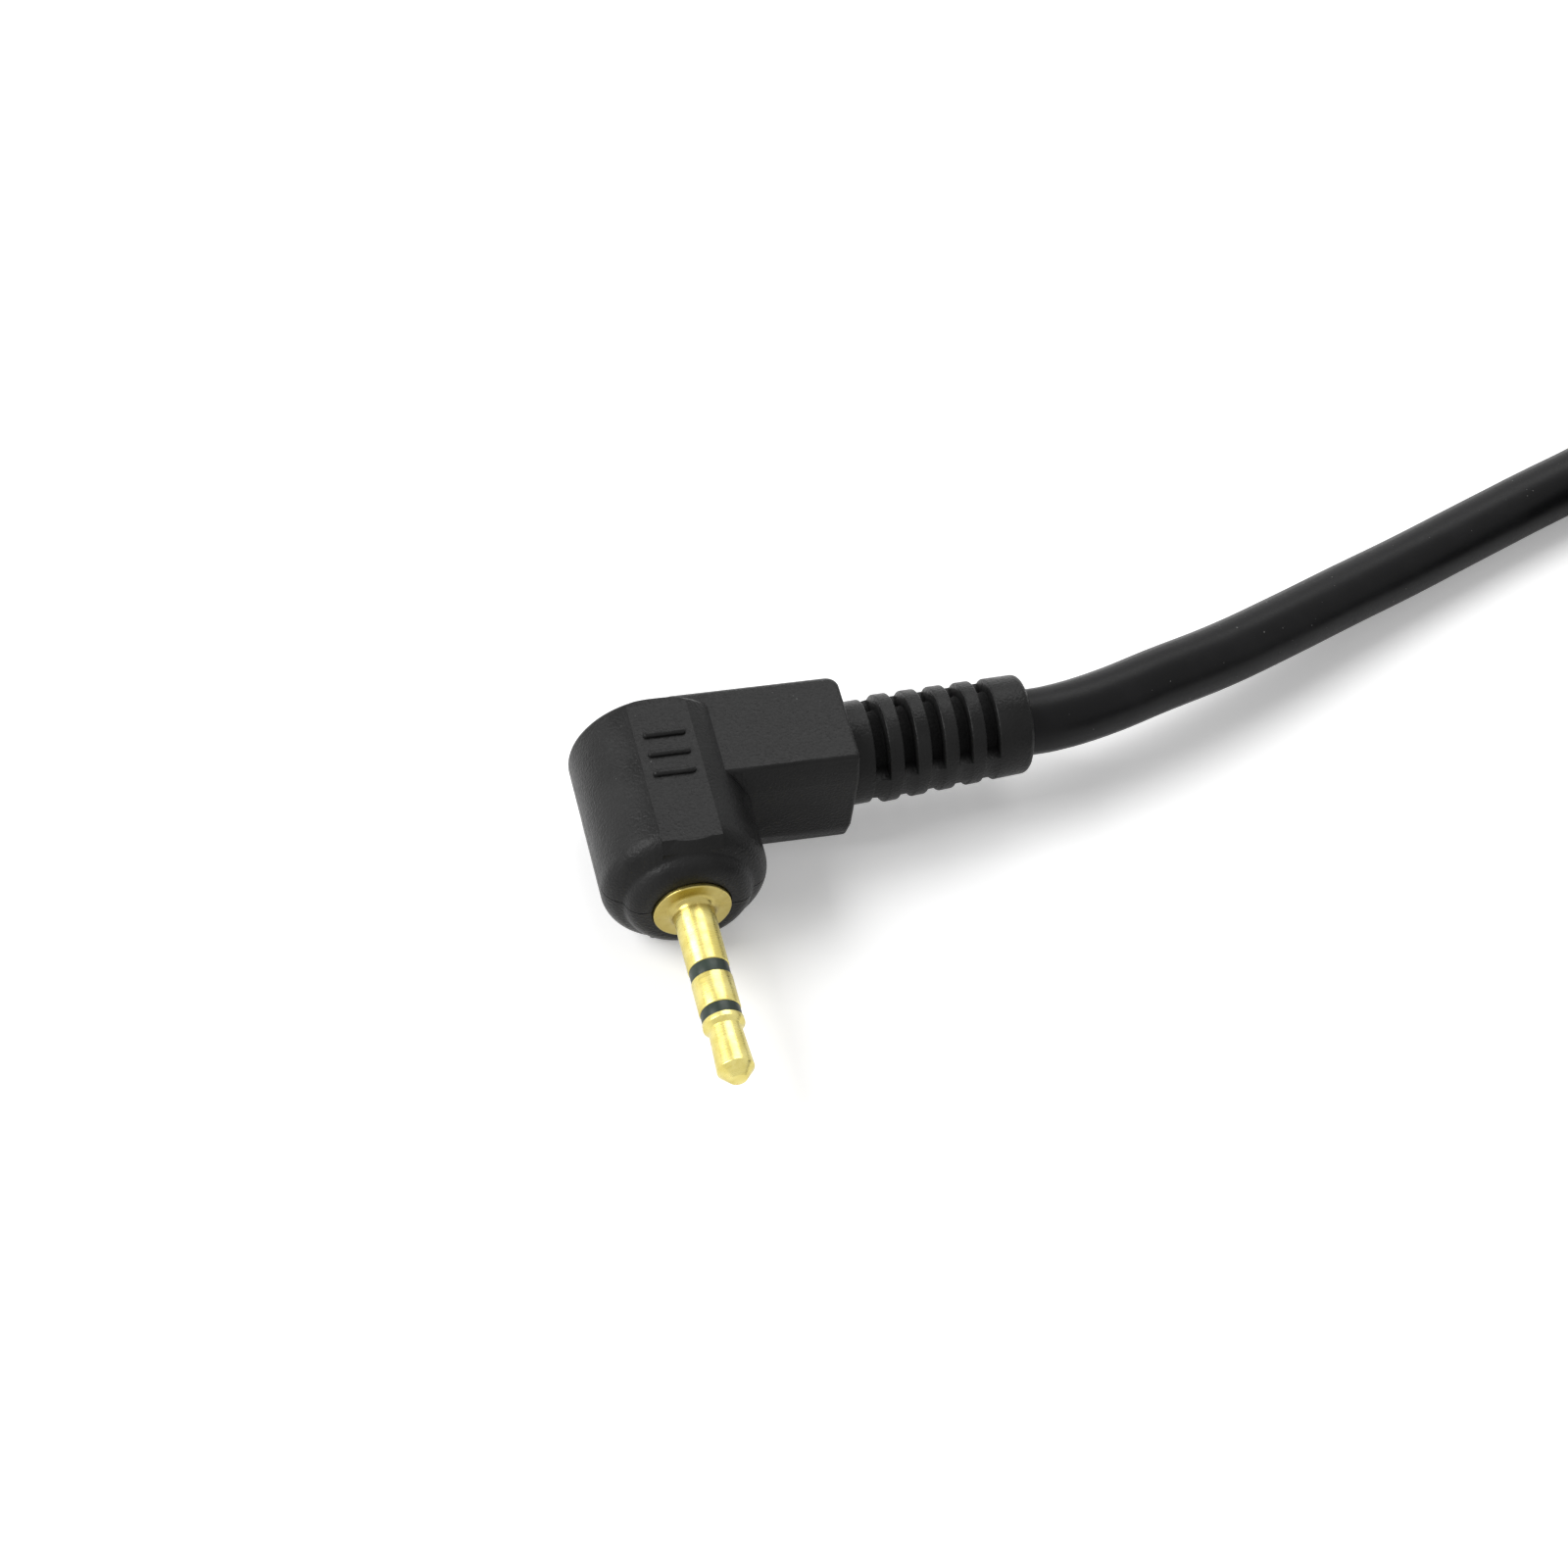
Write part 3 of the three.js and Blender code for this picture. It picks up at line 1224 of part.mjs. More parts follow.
function plug() {
  const group = new THREE.Group();
  const wires = plugWires();
  const outerTube = SLEEVE_BORE - METAL_FIT;
  const innerTube = RING_BORE - METAL_FIT;
  group.add(
    piece("plug_housing", plugHousing(), plugMoulding),
    piece("plug_strain_relief", plugRelief(), plugMoulding),
    piece("plug_pin_holder", pinHolder(), innerPlastic),
    piece("sleeve_contact", sleeveContact(), goldPlate),
    piece("ring_contact", ringContact(), goldPlate),
    piece("tip_contact", tipContact(), goldPlate),
    piece(
      "sleeve_insulator",
      insulator(FIRST_BAND, FIRST_BAND_LENGTH, outerTube, RING_STEM_RADIUS + METAL_FIT, INSULATOR_TAIL),
      insulatorPlastic,
    ),
    piece(
      "ring_insulator",
      insulator(SECOND_BAND, SECOND_BAND_LENGTH, innerTube, TIP_STEM_RADIUS + METAL_FIT, INNER_INSULATOR_TAIL),
      insulatorPlastic,
    ),
    piece("plug_cord_tail", plugTail(), cordJacket),
    piece("plug_wire_sleeve", wires.sleeve, wireInsulation.bare),
    piece("plug_wire_ring", wires.ring, wireInsulation.white),
    piece("plug_wire_tip", wires.tip, wireInsulation.red),
  );
  group.position.set(PLUG_X, PLUG_Y, PLUG_HEIGHT);
  return group;
}

// ---------------------------------------------------------------- cord

/** How far the cord is lifted over the tie's band, `away` millimetres along the coil from it. */
function tieLift(away) {
  return (TIE_THICKNESS + TIE_FIT) * Math.exp(-((away / TIE_RISE_LENGTH) ** 2));
}

/** The coil's radius where the cord has turned by an angle: it spirals in, then out again. */
function coilRadius(turn) {
  const fromEnd = COIL_SWEEP / 2 - Math.abs(turn - COIL_SWEEP / 2);
  return COIL_OUTER_RADIUS - (COIL_SPACING * fromEnd) / (2 * Math.PI);
}

/** The wound length: one layer on the floor, half a turn of climbing, and a second layer on top. */
function coilPoints() {
  const steps = Math.round(TURN_STEPS * COIL_TURNS);
  return Array.from({ length: steps + 1 }, (_, i) => {
    const turn = (COIL_SWEEP * i) / steps;
    const radius = coilRadius(turn);
    const climb = THREE.MathUtils.smoothstep(turn - COIL_SWEEP / 2, -Math.PI / 2, Math.PI / 2);
    const angle = THREE.MathUtils.degToRad(COIL_START_ANGLE) - turn;
    const fromTie = THREE.MathUtils.euclideanModulo(
      angle - THREE.MathUtils.degToRad(TIE_ANGLE) + Math.PI,
      2 * Math.PI,
    );
    return new THREE.Vector3(
      COIL_X + radius * Math.cos(angle),
      COIL_Y + radius * Math.sin(angle),
      CORD_RADIUS + COIL_SPACING * climb + tieLift((fromTie - Math.PI) * radius),
    );
  });
}

/** The stretch from the plug, drawn as it lies in the photograph and then led to the coil. */
function plugStretch(coil) {
  const axisY = PLUG_Y + RELIEF_AXIS + RELIEF_LEAN * RELIEF_LENGTH;
  const start = PLUG_X + RELIEF_END + FACE_GAP;
  const height = PLUG_HEIGHT;
  const straight = CORD_DIAMETER * 0.4;
  return [
    [start, axisY, height],
    [start + straight, axisY + straight * RELIEF_LEAN, height],
    [start + 5, axisY + 0.9, height - 0.2],
    [-66, 44.5, height - 0.6],
    [-61, 46.4, height - 1.2],
    [-56, 48.6, 3.2],
    [-51, 50.9, 2.7],
    [-46, 53.1, 2.3],
    [-41, 55.3, 2.1],
    [-36, 57.4, CORD_RADIUS],
    [-28.3, 60.6, CORD_RADIUS],
    ...straightFrom(coil[0], coil[1], [8, CORD_DIAMETER, FACE_GAP]),
  ];
}

/** The stretch from the coil to the switch, which comes down beside the coil and turns back. */
function switchStretch(coil) {
  const end = BOOT_END + FACE_GAP;
  return [
    ...straightFrom(coil.at(-1), coil.at(-2), [FACE_GAP, CORD_DIAMETER, 8]),
    [26, 58.4, 5.1],
    [38, 52.8, 3.3],
    [50, 46.4, 2.3],
    [62, 39.1, CORD_RADIUS],
    [72.3, 31.4, CORD_RADIUS],
    [78.6, 24.2, 2.3],
    [80.9, 16, 3.2],
    [79, 8, 4.9],
    [73.2, 1.9, 6.9],
    [end + CORD_DIAMETER, 0, PARTING_HEIGHT - 0.1],
    [end, 0, PARTING_HEIGHT],
  ];
}

/** Points that run straight out of a coil's end, at the given distances from it. */
function straightFrom(end, inside, distances) {
  const outwards = end.clone().sub(inside).normalize();
  return distances.map((distance) => end.clone().addScaledVector(outwards, distance).toArray());
}

function cordTube(points, steps) {
  const curve = new THREE.CatmullRomCurve3(points.map((p) => new THREE.Vector3(...p)), false, "centripetal");
  console.log(`cord stretch: ${curve.getLength().toFixed(1)} mm`);
  return tube(curve, CORD_RADIUS, CORD_SIDES, steps);
}

/** A band around all of the coil's turns at one place. */
function coilTie() {
  const before = THREE.MathUtils.euclideanModulo(COIL_START_ANGLE - TIE_ANGLE, 360) / 360;
  const passes = Array.from({ length: Math.floor(COIL_TURNS - before) + 1 }, (_, i) =>
    coilRadius(2 * Math.PI * (before + i)),
  );
  const inside = Math.min(...passes) - CORD_RADIUS - TIE_FIT;
  const outside = Math.max(...passes) + CORD_RADIUS + TIE_FIT;
  const height = CORD_DIAMETER + COIL_SPACING + 2 * TIE_FIT;
  const band = (grow, width) => {
    const outline = roundedRectangle(0, outside - inside + 2 * grow, height + 2 * grow, CORD_RADIUS + grow);
    const prism = new THREE.ExtrudeGeometry(outline, { depth: width, bevelEnabled: false, curveSegments: 4 });
    prism.translate(0, 0, -width / 2).rotateX(Math.PI / 2);
    return solid(prism.translate((inside + outside) / 2, 0, TIE_THICKNESS + height / 2));
  };
  const loop = cut(band(TIE_THICKNESS, TIE_WIDTH), band(0, TIE_WIDTH + 2));
  return loop.rotate([0, 0, TIE_ANGLE]).translate([COIL_X, COIL_Y, 0]);
}

function cord() {
  const group = new THREE.Group();
  const coil = coilPoints();
  console.log(`cord coil: least gap ${leastGap(coil, CORD_DIAMETER, TURN_STEPS / 2).toFixed(2)} mm`);
  group.add(
    piece("cord_to_plug", cordTube(plugStretch(coil), 14), cordJacket),
    piece("cord_coil", woundTube(coil, CORD_RADIUS, 6), cordJacket),
    piece("cord_to_switch", cordTube(switchStretch(coil), 22), cordJacket),
    piece("coil_tie", coilTie(), softRubber),
  );
  return group;
}

// ---------------------------------------------------------------- assembly

const cableRelease = new THREE.Group();
cableRelease.add(handSwitch(), plug(), cord());

export default cableRelease;
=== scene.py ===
"""Looks of the cable shutter release: the plug and cord as photographed, with the hand switch."""

import json
import logging
import math
from dataclasses import dataclass
from enum import Enum
from typing import Callable, Iterable, Sequence, Union

import bmesh
import bpy
from mathutils import Matrix, Vector


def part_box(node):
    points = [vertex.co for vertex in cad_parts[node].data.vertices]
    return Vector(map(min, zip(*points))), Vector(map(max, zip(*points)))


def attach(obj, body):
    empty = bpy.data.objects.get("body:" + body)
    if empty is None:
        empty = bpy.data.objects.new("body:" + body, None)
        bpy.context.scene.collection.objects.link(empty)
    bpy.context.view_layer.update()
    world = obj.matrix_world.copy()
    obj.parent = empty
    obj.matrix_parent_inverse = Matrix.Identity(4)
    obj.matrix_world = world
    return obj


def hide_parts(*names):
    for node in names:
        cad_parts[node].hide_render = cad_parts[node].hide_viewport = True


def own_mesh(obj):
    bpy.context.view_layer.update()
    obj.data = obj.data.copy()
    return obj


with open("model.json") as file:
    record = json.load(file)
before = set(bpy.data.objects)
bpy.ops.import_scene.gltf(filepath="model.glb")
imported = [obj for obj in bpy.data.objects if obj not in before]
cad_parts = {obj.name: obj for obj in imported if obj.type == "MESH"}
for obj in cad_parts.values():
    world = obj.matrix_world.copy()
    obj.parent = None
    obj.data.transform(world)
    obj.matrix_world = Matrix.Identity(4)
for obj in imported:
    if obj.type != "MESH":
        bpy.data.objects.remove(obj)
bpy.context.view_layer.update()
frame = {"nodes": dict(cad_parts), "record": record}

MM = 0.001  # a millimetre in metres
FULL_TURN = 2 * math.pi
TOUCH = 1e-4  # millimetres between two points that count as one
CORNER_SHARE = 0.49  # how much of a side one rounded corner may take up
PAST = 1.0  # millimetres that a tool reaches past what it cuts
WHITE = (255, 255, 255)
BLACK = (0, 0, 0)

Point = tuple[float, float, float]
Corner = tuple[float, float, float]
Spot = tuple[float, float]
Outline = list[Spot]
Tone = tuple[int, int, int]
Shape = bmesh.types.BMesh
Piece = bpy.types.Object
Number = Union[float, "Value"]

log = logging.getLogger("cable_release")


class Axis(Enum):
    """A main axis."""

    X = (1, 0, 0)
    Y = (0, 1, 0)
    Z = (0, 0, 1)

    def point(self, along: float, first: float, second: float = 0.0) -> Vector:
        """Returns the point at a place along the axis and at places on the other two, in order."""
        places = [first, second]
        places.insert(self.value.index(1), along)
        return Vector(places)


# ---------------------------------------------------------------------------------------- shader kit


class Value:
    """A number in a tree of nodes, on which arithmetic adds Math nodes."""

    def __init__(self, nodes: "NodeKit", socket: bpy.types.NodeSocket) -> None:
        """Wraps an output socket of a tree's node."""
        self.nodes = nodes
        self.socket = socket

    def _math(self, operation: str, *terms: Number) -> "Value":
        """Adds one Math node.

        Args:
            operation: the node's operation.
            terms: its inputs, in order.

        Returns:
            The node's result.
        """
        return self.nodes.value("ShaderNodeMath", {"operation": operation}, dict(enumerate(terms)))

    def __add__(self, other: Number) -> "Value":
        """Returns the sum."""
        return self._math("ADD", self, other)

    __radd__ = __add__

    def __sub__(self, other: Number) -> "Value":
        """Returns the difference."""
        return self._math("SUBTRACT", self, other)

    def __rsub__(self, other: Number) -> "Value":
        """Returns a number less this value."""
        return self._math("SUBTRACT", other, self)

    def __mul__(self, other: Number) -> "Value":
        """Returns the product."""
        return self._math("MULTIPLY", self, other)

    __rmul__ = __mul__

    def larger(self, other: Number) -> "Value":
        """Returns the larger of the two."""
        return self._math("MAXIMUM", self, other)

    def root(self) -> "Value":
        """Returns the square root of the value."""
        return self._math("SQRT", self)

    def wave(self) -> "Value":
        """Returns the sine of the value."""
        return self._math("SINE", self)

    def ramp(self, low: float, high: float, start: float = 0.0, end: float = 1.0) -> "Value":
        """Eases from one number to another between two limits.

        Args:
            low: the value at and under which the result is start.
            high: the value at and over which the result is end.
            start: the result at the low limit.
            end: the result at the high limit.

        Returns:
            The eased value.
        """
        settings = {"interpolation_type": "SMOOTHSTEP"}
        sockets = {"Value": self, "From Min": low, "From Max": high, "To Min": start, "To Max": end}
        return self.nodes.value("ShaderNodeMapRange", settings, sockets)


class NodeKit:
    """A tree of nodes, of a material or the world, and the one way in which nodes are added to it."""

    def __init__(self, tree: bpy.types.NodeTree) -> None:
        """Takes the tree that the nodes are added to."""
        self.tree = tree

    def node(
        self,
        kind: str,
        settings: dict[str, str] | None = None,
        sockets: dict[int | str, object] | None = None,
    ) -> bpy.types.ShaderNode:
        """Adds a node.

        Args:
            kind: the node's type.
            settings: its own properties, which are set first.
            sockets: values or links of its inputs, by name or number.

        Returns:
            The node.
        """
        made = self.tree.nodes.new(kind)
        for name, setting in (settings or {}).items():
            setattr(made, name, setting)
        for name, given in (sockets or {}).items():
            self.feed(made.inputs[name], given)
        return made

    def feed(self, socket: bpy.types.NodeSocket, given: object) -> None:
        """Gives an input a link or a plain value.

        Args:
            socket: the input.
            given: a number in the tree, an output socket or a plain value.
        """
        if isinstance(given, Value):
            given = given.socket
        if isinstance(given, bpy.types.NodeSocket):
            self.tree.links.new(given, socket)
        else:
            socket.default_value = given

    def value(self, kind: str, settings: dict[str, str], sockets: dict[int | str, object]) -> Value:
        """Adds a node and returns its first result as a number."""
        return Value(self, self.node(kind, settings, sockets).outputs[0])

    def shown(self) -> Value:
        """Tells the rays that see or mirror the background from those that only light.

        Returns:
            1 for the first and 0 for the others.
        """
        path = self.node("ShaderNodeLightPath")
        seen, mirrored, through = (
            Value(self, path.outputs[f"Is {kind} Ray"]) for kind in ("Camera", "Glossy", "Transmission")
        )
        return seen.larger(mirrored).larger(through)


class Shader(NodeKit):
    """A material's nodes, with the piece's own coordinates in millimetres."""

    def __init__(self, name: str) -> None:
        """Starts a material that holds one Principled shader.

        Args:
            name: the material's name.
        """
        self.material = bpy.data.materials.new(name)
        self.material.use_nodes = True
        super().__init__(self.material.node_tree)
        self.surface = self.tree.nodes["Principled BSDF"]
        place = self.node("ShaderNodeTexCoord")
        scaled = self.node(
            "ShaderNodeVectorMath", {"operation": "SCALE"}, {0: place.outputs["Object"], "Scale": 1 / MM}
        )
        self.place = scaled.outputs[0]

    def along(self, axis: Axis) -> Value:
        """Returns one coordinate of the surface in millimetres."""
        parts = self.node("ShaderNodeSeparateXYZ", None, {0: self.place})
        return Value(self, parts.outputs[axis.name])

    def noise(
        self,
        size: float,
        detail: float,
        stretch: Sequence[float] = (1, 1, 1),
        offset: Point = (0, 0, 0),
    ) -> Value:
        """Adds a noise pattern.

        Args:
            size: the size of its blotches in millimetres.
            detail: how many finer layers it has.
            stretch: how much longer it is along each axis.
            offset: where the pattern is taken from.

        Returns:
            The pattern, about 0.5 on average.
        """
        scale = tuple(1 / (size * s) for s in stretch)
        mapping = self.node(
            "ShaderNodeMapping", None, {"Vector": self.place, "Scale": scale, "Location": offset}
        )
        return self.value(
            "ShaderNodeTexNoise", {}, {"Vector": mapping.outputs[0], "Scale": 1.0, "Detail": detail}
        )

    def mix(self, factor: Number, first: object, second: object) -> bpy.types.NodeSocket:
        """Mixes two colours.

        Args:
            factor: the second colour's share.
            first: a colour or the output of an earlier mix.
            second: the other colour.

        Returns:
            The mixed colour.
        """
        sockets = {"Factor": factor, 6: first, 7: second}
        return self.node("ShaderNodeMix", {"data_type": "RGBA"}, sockets).outputs[2]

    def bump(self, height: Number, depth: float, strength: float = 1.0, over: object = None) -> object:
        """Adds relief.

        Args:
            height: the relief's height from 0 to 1.
            depth: how deep it is, in millimetres.
            strength: how much of it shows.
            over: the normal of a relief underneath it.

        Returns:
            The bent normal.
        """
        sockets = {"Height": height, "Distance": depth * MM, "Strength": strength}
        if over is not None:
            sockets["Normal"] = over
        return self.node("ShaderNodeBump", None, sockets).outputs[0]

    def dress(self, **sockets: object) -> bpy.types.Material:
        """Sets the Principled shader's inputs.

        Args:
            sockets: values or links, by the input's name with _ for a space.

        Returns:
            The finished material.
        """
        for name, given in sockets.items():
            self.feed(self.surface.inputs[name.replace("_", " ")], given)
        return self.material


def colour(tone: Tone, times: float = 1.0, plus: float = 0.0) -> tuple[float, float, float, float]:
    """Turns a tone into the shader's linear colour.

    Args:
        tone: its red, green and blue on the usual scale of 0 to 255.
        times: how many times as light it becomes first.
        plus: what each channel then gains.

    Returns:
        The linear colour, with an alpha of 1.
    """

    def linear(part: float) -> float:
        """Returns one channel's linear value."""
        return part / 12.92 if part <= 0.04045 else ((part + 0.055) / 1.055) ** 2.4

    return (*(linear(min(255, round(part * times + plus)) / 255) for part in tone), 1.0)


# ------------------------------------------------------------------------------------------ finishes


@dataclass(frozen=True)
class Patches:
    """Soft patches of noise.

    They have a size in millimetres and an offset that says where they are taken from, and fade in between
    two values of the noise.
    """

    size: float
    offset: Point
    fade: Spot
    detail: float = 3.0

    def on(self, shader: Shader) -> Value:
        """Returns the patches in a shader, from 0 to 1."""
        return shader.noise(self.size, self.detail, offset=self.offset).ramp(*self.fade)


@dataclass(frozen=True)
class Finish:
    """How a surface looks; each kind of finish makes its own material."""

    name: str
    tone: Tone

    def material(self) -> bpy.types.Material:
        """Returns the finish's material, made once."""
        return bpy.data.materials.get(self.name) or self.make(Shader(self.name))

    def make(self, shader: Shader) -> bpy.types.Material:
        """Builds the material in a new shader."""
        raise NotImplementedError


@dataclass(frozen=True)
class MouldedPlastic(Finish):
    """Plastic from a spark-eroded mould: a fine even grain, a faint mottle and a few specks of dust."""

    roughness: float = 0.45
    grain: float = 0.16
    grain_depth: float = 0.012
    mottle: float = 0.12
    dust: float = 0.0
    shine: float = 0.5
    mottle_grains: float = 14
    mottle_offset: Point = (3, 7, 1)
    specks: Patches = Patches(0.24, (11, 5, 9), (0.78, 0.82), 1)
    dust_tone: Tone = (150, 150, 148)

    def _painted_slot_shade(self, shader: Shader, shade: object, rough: Value) -> tuple[object, Value]:
        """Returns the tone and the roughness unchanged, because a plain moulding has no slots to paint
        shade into.
        """
        return shade, rough

    def make(self, shader: Shader) -> bpy.types.Material:
        """Builds the material in a new shader.

        Args:
            shader: the material's shader.

        Returns:
            The finished material.
        """
        fine = shader.noise(self.grain, detail=3)
        coarse = shader.noise(self.grain * self.mottle_grains, detail=3, offset=self.mottle_offset)
        pale = colour(self.tone, 1 + self.mottle, 6)
        shade = shader.mix(coarse.ramp(0.3, 0.75), colour(self.tone), pale)
        if self.dust:
            shade = shader.mix(self.specks.on(shader) * self.dust, shade, colour(self.dust_tone))
        rough = fine.ramp(0.25, 0.8, self.roughness - 0.05, self.roughness + 0.08)
        rough = rough + coarse.ramp(0.35, 0.7, -0.03, 0.04)
        # painted shade in the slots, on the slotted sleeve only
        shade, rough = self._painted_slot_shade(shader, shade, rough)
        normal = shader.bump(fine, self.grain_depth)
        return shader.dress(
            Base_Color=shade, Roughness=rough, Normal=normal, Specular_IOR_Level=self.shine
        )


@dataclass(frozen=True)
class SlottedPlastic(MouldedPlastic):
    """The same plastic on a slotted sleeve: the floors of its slots are duller, and painted dark as
    shade.

    The sleeve's axis starts at a place, in millimetres, and leans from there towards +Y. The surface is
    painted dark as shade up to the first of the two depths from it, and has its own tone from the second
    one on.
    """

    place: Point = (-87.46, 41.2, 4.92)
    lean: float = 0.064
    depths: Spot = (2.4, 3.0)
    painted_slot_shade_tone: Tone = (7, 7, 7)
    slot_roughness: float = 0.4

    def _painted_slot_shade(self, shader: Shader, shade: object, rough: Value) -> tuple[object, Value]:
        """Paints shade into the slots: makes the surface darker near the sleeve's leaning axis, and
        duller there too.

        Args:
            shader: the material's shader.
            shade: the tone on the rings.
            rough: the roughness on the rings.

        Returns:
            The tone, with the painted shade in the slots, and the roughness, duller there too.
        """
        x, y, z = self.place
        across = shader.along(Axis.Y) - y - (shader.along(Axis.X) - x) * self.lean
        above = shader.along(Axis.Z) - z
        # painted shade: the slot floors near the axis are painted dark
        deep = (across * across + above * above).root().ramp(*self.depths, 1.0, 0.0)
        return shader.mix(deep, shade, colour(self.painted_slot_shade_tone)), rough + deep * self.slot_roughness


@dataclass(frozen=True)
class CordJacket(Finish):
    """An extruded jacket: smooth, with faint drawn waves, rubbed patches and a few specks of dust."""

    roughness: float = 0.36
    shine: float = 0.13
    grain: float = 0.12
    grain_depth: float = 0.006
    wave: float = 1.7
    wave_depth: float = 0.03
    wave_offset: Point = (8, 1, 3)
    rubs: Patches = Patches(2.6, (2, 4, 6), (0.45, 0.72))
    specks: Patches = Patches(0.26, (1, 9, 4), (0.77, 0.8), 1)
    dust: float = 0.5
    dust_tone: Tone = (140, 140, 138)

    def make(self, shader: Shader) -> bpy.types.Material:
        """Builds the material in a new shader.

        Args:
            shader: the material's shader.

        Returns:
            The finished material.
        """
        fine = shader.noise(self.grain, detail=2)
        rubbed = self.rubs.on(shader)
        waves = shader.noise(self.wave, detail=2, offset=self.wave_offset)
        shade = shader.mix(rubbed, colour(self.tone), colour(self.tone, plus=6))
        shade = shader.mix(self.specks.on(shader) * self.dust, shade, colour(self.dust_tone))
        rough = fine.ramp(0.3, 0.75, self.roughness - 0.03, self.roughness + 0.06) + rubbed * 0.06
        normal = shader.bump(waves, self.wave_depth, 0.6, shader.bump(fine, self.grain_depth))
        return shader.dress(
            Base_Color=shade, Roughness=rough, Normal=normal, Specular_IOR_Level=self.shine
        )


@dataclass(frozen=True)
class GoldPlate(Finish):
    """Thin gold on a turned pin: lathe marks round it, coppery rub marks, and a painted dark reflection
    at its flange.

    The pin lies along an axis, and the painted dark reflection comes in between two places on it, in
    millimetres.
    """

    axis: Axis = Axis.Y
    painted_reflection_span: Spot = (30.0, 30.7)
    roughness: float = 0.17
    mark: float = 1.0
    mark_stretch: Spot = (0.05, 1.6)  # along the pin, across it
    mark_depth: float = 0.004
    clouds: Patches = Patches(0.9, (4, 2, 8), (0.35, 0.7))
    rubs: Patches = Patches(0.32, (7, 3, 5), (0.66, 0.72))
    cloud_tone: Tone = (222, 210, 134)
    rub_tone: Tone = (206, 140, 92)
    painted_reflection_tone: Tone = (132, 112, 62)

    def make(self, shader: Shader) -> bpy.types.Material:
        """Builds the material in a new shader.

        Args:
            shader: the material's shader.

        Returns:
            The finished material.
        """
        along, across = self.mark_stretch
        stretch = [along if axis is self.axis else across for axis in Axis]
        marks = shader.noise(self.mark, detail=3, stretch=stretch)
        worn = self.rubs.on(shader)
        # painted dark reflection: the flange end of the pin is painted darker
        painted_reflection = shader.along(self.axis).ramp(*self.painted_reflection_span, 0.0, 0.55)
        shade = shader.mix(self.clouds.on(shader), colour(self.tone), colour(self.cloud_tone))
        shade = shader.mix(worn * 0.6, shade, colour(self.rub_tone))
        shade = shader.mix(painted_reflection, shade, colour(self.painted_reflection_tone))
        rough = marks.ramp(0.3, 0.7, self.roughness - 0.05, self.roughness + 0.07) + worn * 0.12
        normal = shader.bump(marks, self.mark_depth, 0.5)
        return shader.dress(Base_Color=shade, Metallic=1.0, Roughness=rough, Normal=normal)


@dataclass(frozen=True)
class BareMetal(Finish):
    """Rolled, drawn or turned metal with fine lines along one axis and a slight stain."""

    lines: Point = (1, 1, 1)
    roughness: float = 0.3
    line: float = 0.2
    line_depth: float = 0.006
    stains: Patches = Patches(2.2, (5, 5, 2), (0.45, 0.75))
    darkening: float = 0.78

    def make(self, shader: Shader) -> bpy.types.Material:
        """Builds the material in a new shader.

        Args:
            shader: the material's shader.

        Returns:
            The finished material.
        """
        drawn = shader.noise(self.line, detail=3, stretch=self.lines)
        stain = self.stains.on(shader)
        shade = shader.mix(stain * 0.7, colour(self.tone), colour(self.tone, self.darkening))
        rough = drawn.ramp(0.3, 0.7, self.roughness - 0.07, self.roughness + 0.1) + stain * 0.1
        normal = shader.bump(drawn, self.line_depth, 0.6)
        return shader.dress(Base_Color=shade, Metallic=1.0, Roughness=rough, Normal=normal)


@dataclass(frozen=True)
class SoftRubber(Finish):
    """Moulded rubber: dull, and paler in the patches where it is handled."""

    roughness: float = 0.6
    grain: float = 0.2
    grain_depth: float = 0.015
    handled: Patches = Patches(3.5, (9, 2, 7), (0.4, 0.7))

    def make(self, shader: Shader) -> bpy.types.Material:
        """Builds the material in a new shader.

        Args:
            shader: the material's shader.

        Returns:
            The finished material.
        """
        fine = shader.noise(self.grain, detail=3)
        pale = self.handled.on(shader)
        shade = shader.mix(pale, colour(self.tone), colour(self.tone, plus=8))
        rough = fine.ramp(0.3, 0.7, self.roughness - 0.06, self.roughness + 0.08) - pale * 0.05
        normal = shader.bump(fine, self.grain_depth)
        return shader.dress(Base_Color=shade, Roughness=rough, Normal=normal)


@dataclass(frozen=True)
class WovenStrap(Finish):
    """A woven strap: threads across and along it, with a little fluff in the hollows, which are painted
    darker as shade.
    """

    thread: float = 0.55
    thread_depth: float = 0.09
    fluff: float = 0.18
    fluff_share: float = 0.2
    roughness: Spot = (0.9, 0.72)  # in the hollows, on the threads

    def make(self, shader: Shader) -> bpy.types.Material:
        """Builds the material in a new shader.

        Args:
            shader: the material's shader.

        Returns:
            The finished material.
        """
        pitch = FULL_TURN / self.thread
        warp = (shader.along(Axis.Z) * pitch).wave() * (shader.along(Axis.Y) * pitch).wave()
        fluff = shader.noise(self.fluff, detail=3)
        weave = warp.ramp(-1, 1) * (1 - self.fluff_share) + fluff * self.fluff_share
        # painted shade: the hollows of the weave are half as light as its threads
        shade = shader.mix(weave, colour(self.tone, 0.5), colour(self.tone))
        rough = weave.ramp(0.2, 0.9, *self.roughness)
        normal = shader.bump(weave, self.thread_depth)
        return shader.dress(Base_Color=shade, Roughness=rough, Normal=normal)


SHELL = MouldedPlastic("shell_plastic_look", (36, 36, 38), 0.48, 0.2, 0.02, dust=0.15, shine=0.3)
BUTTON = MouldedPlastic("button_look", (64, 66, 70), 0.42, 0.18, 0.01)
PALE_MOULDING = MouldedPlastic("pale_moulding_look", (214, 210, 198), 0.5, 0.3, 0.01, 0.03)
PLUG = MouldedPlastic("plug_look", (28, 28, 28), 0.33, 0.17, 0.045, dust=0.25, shine=0.13)
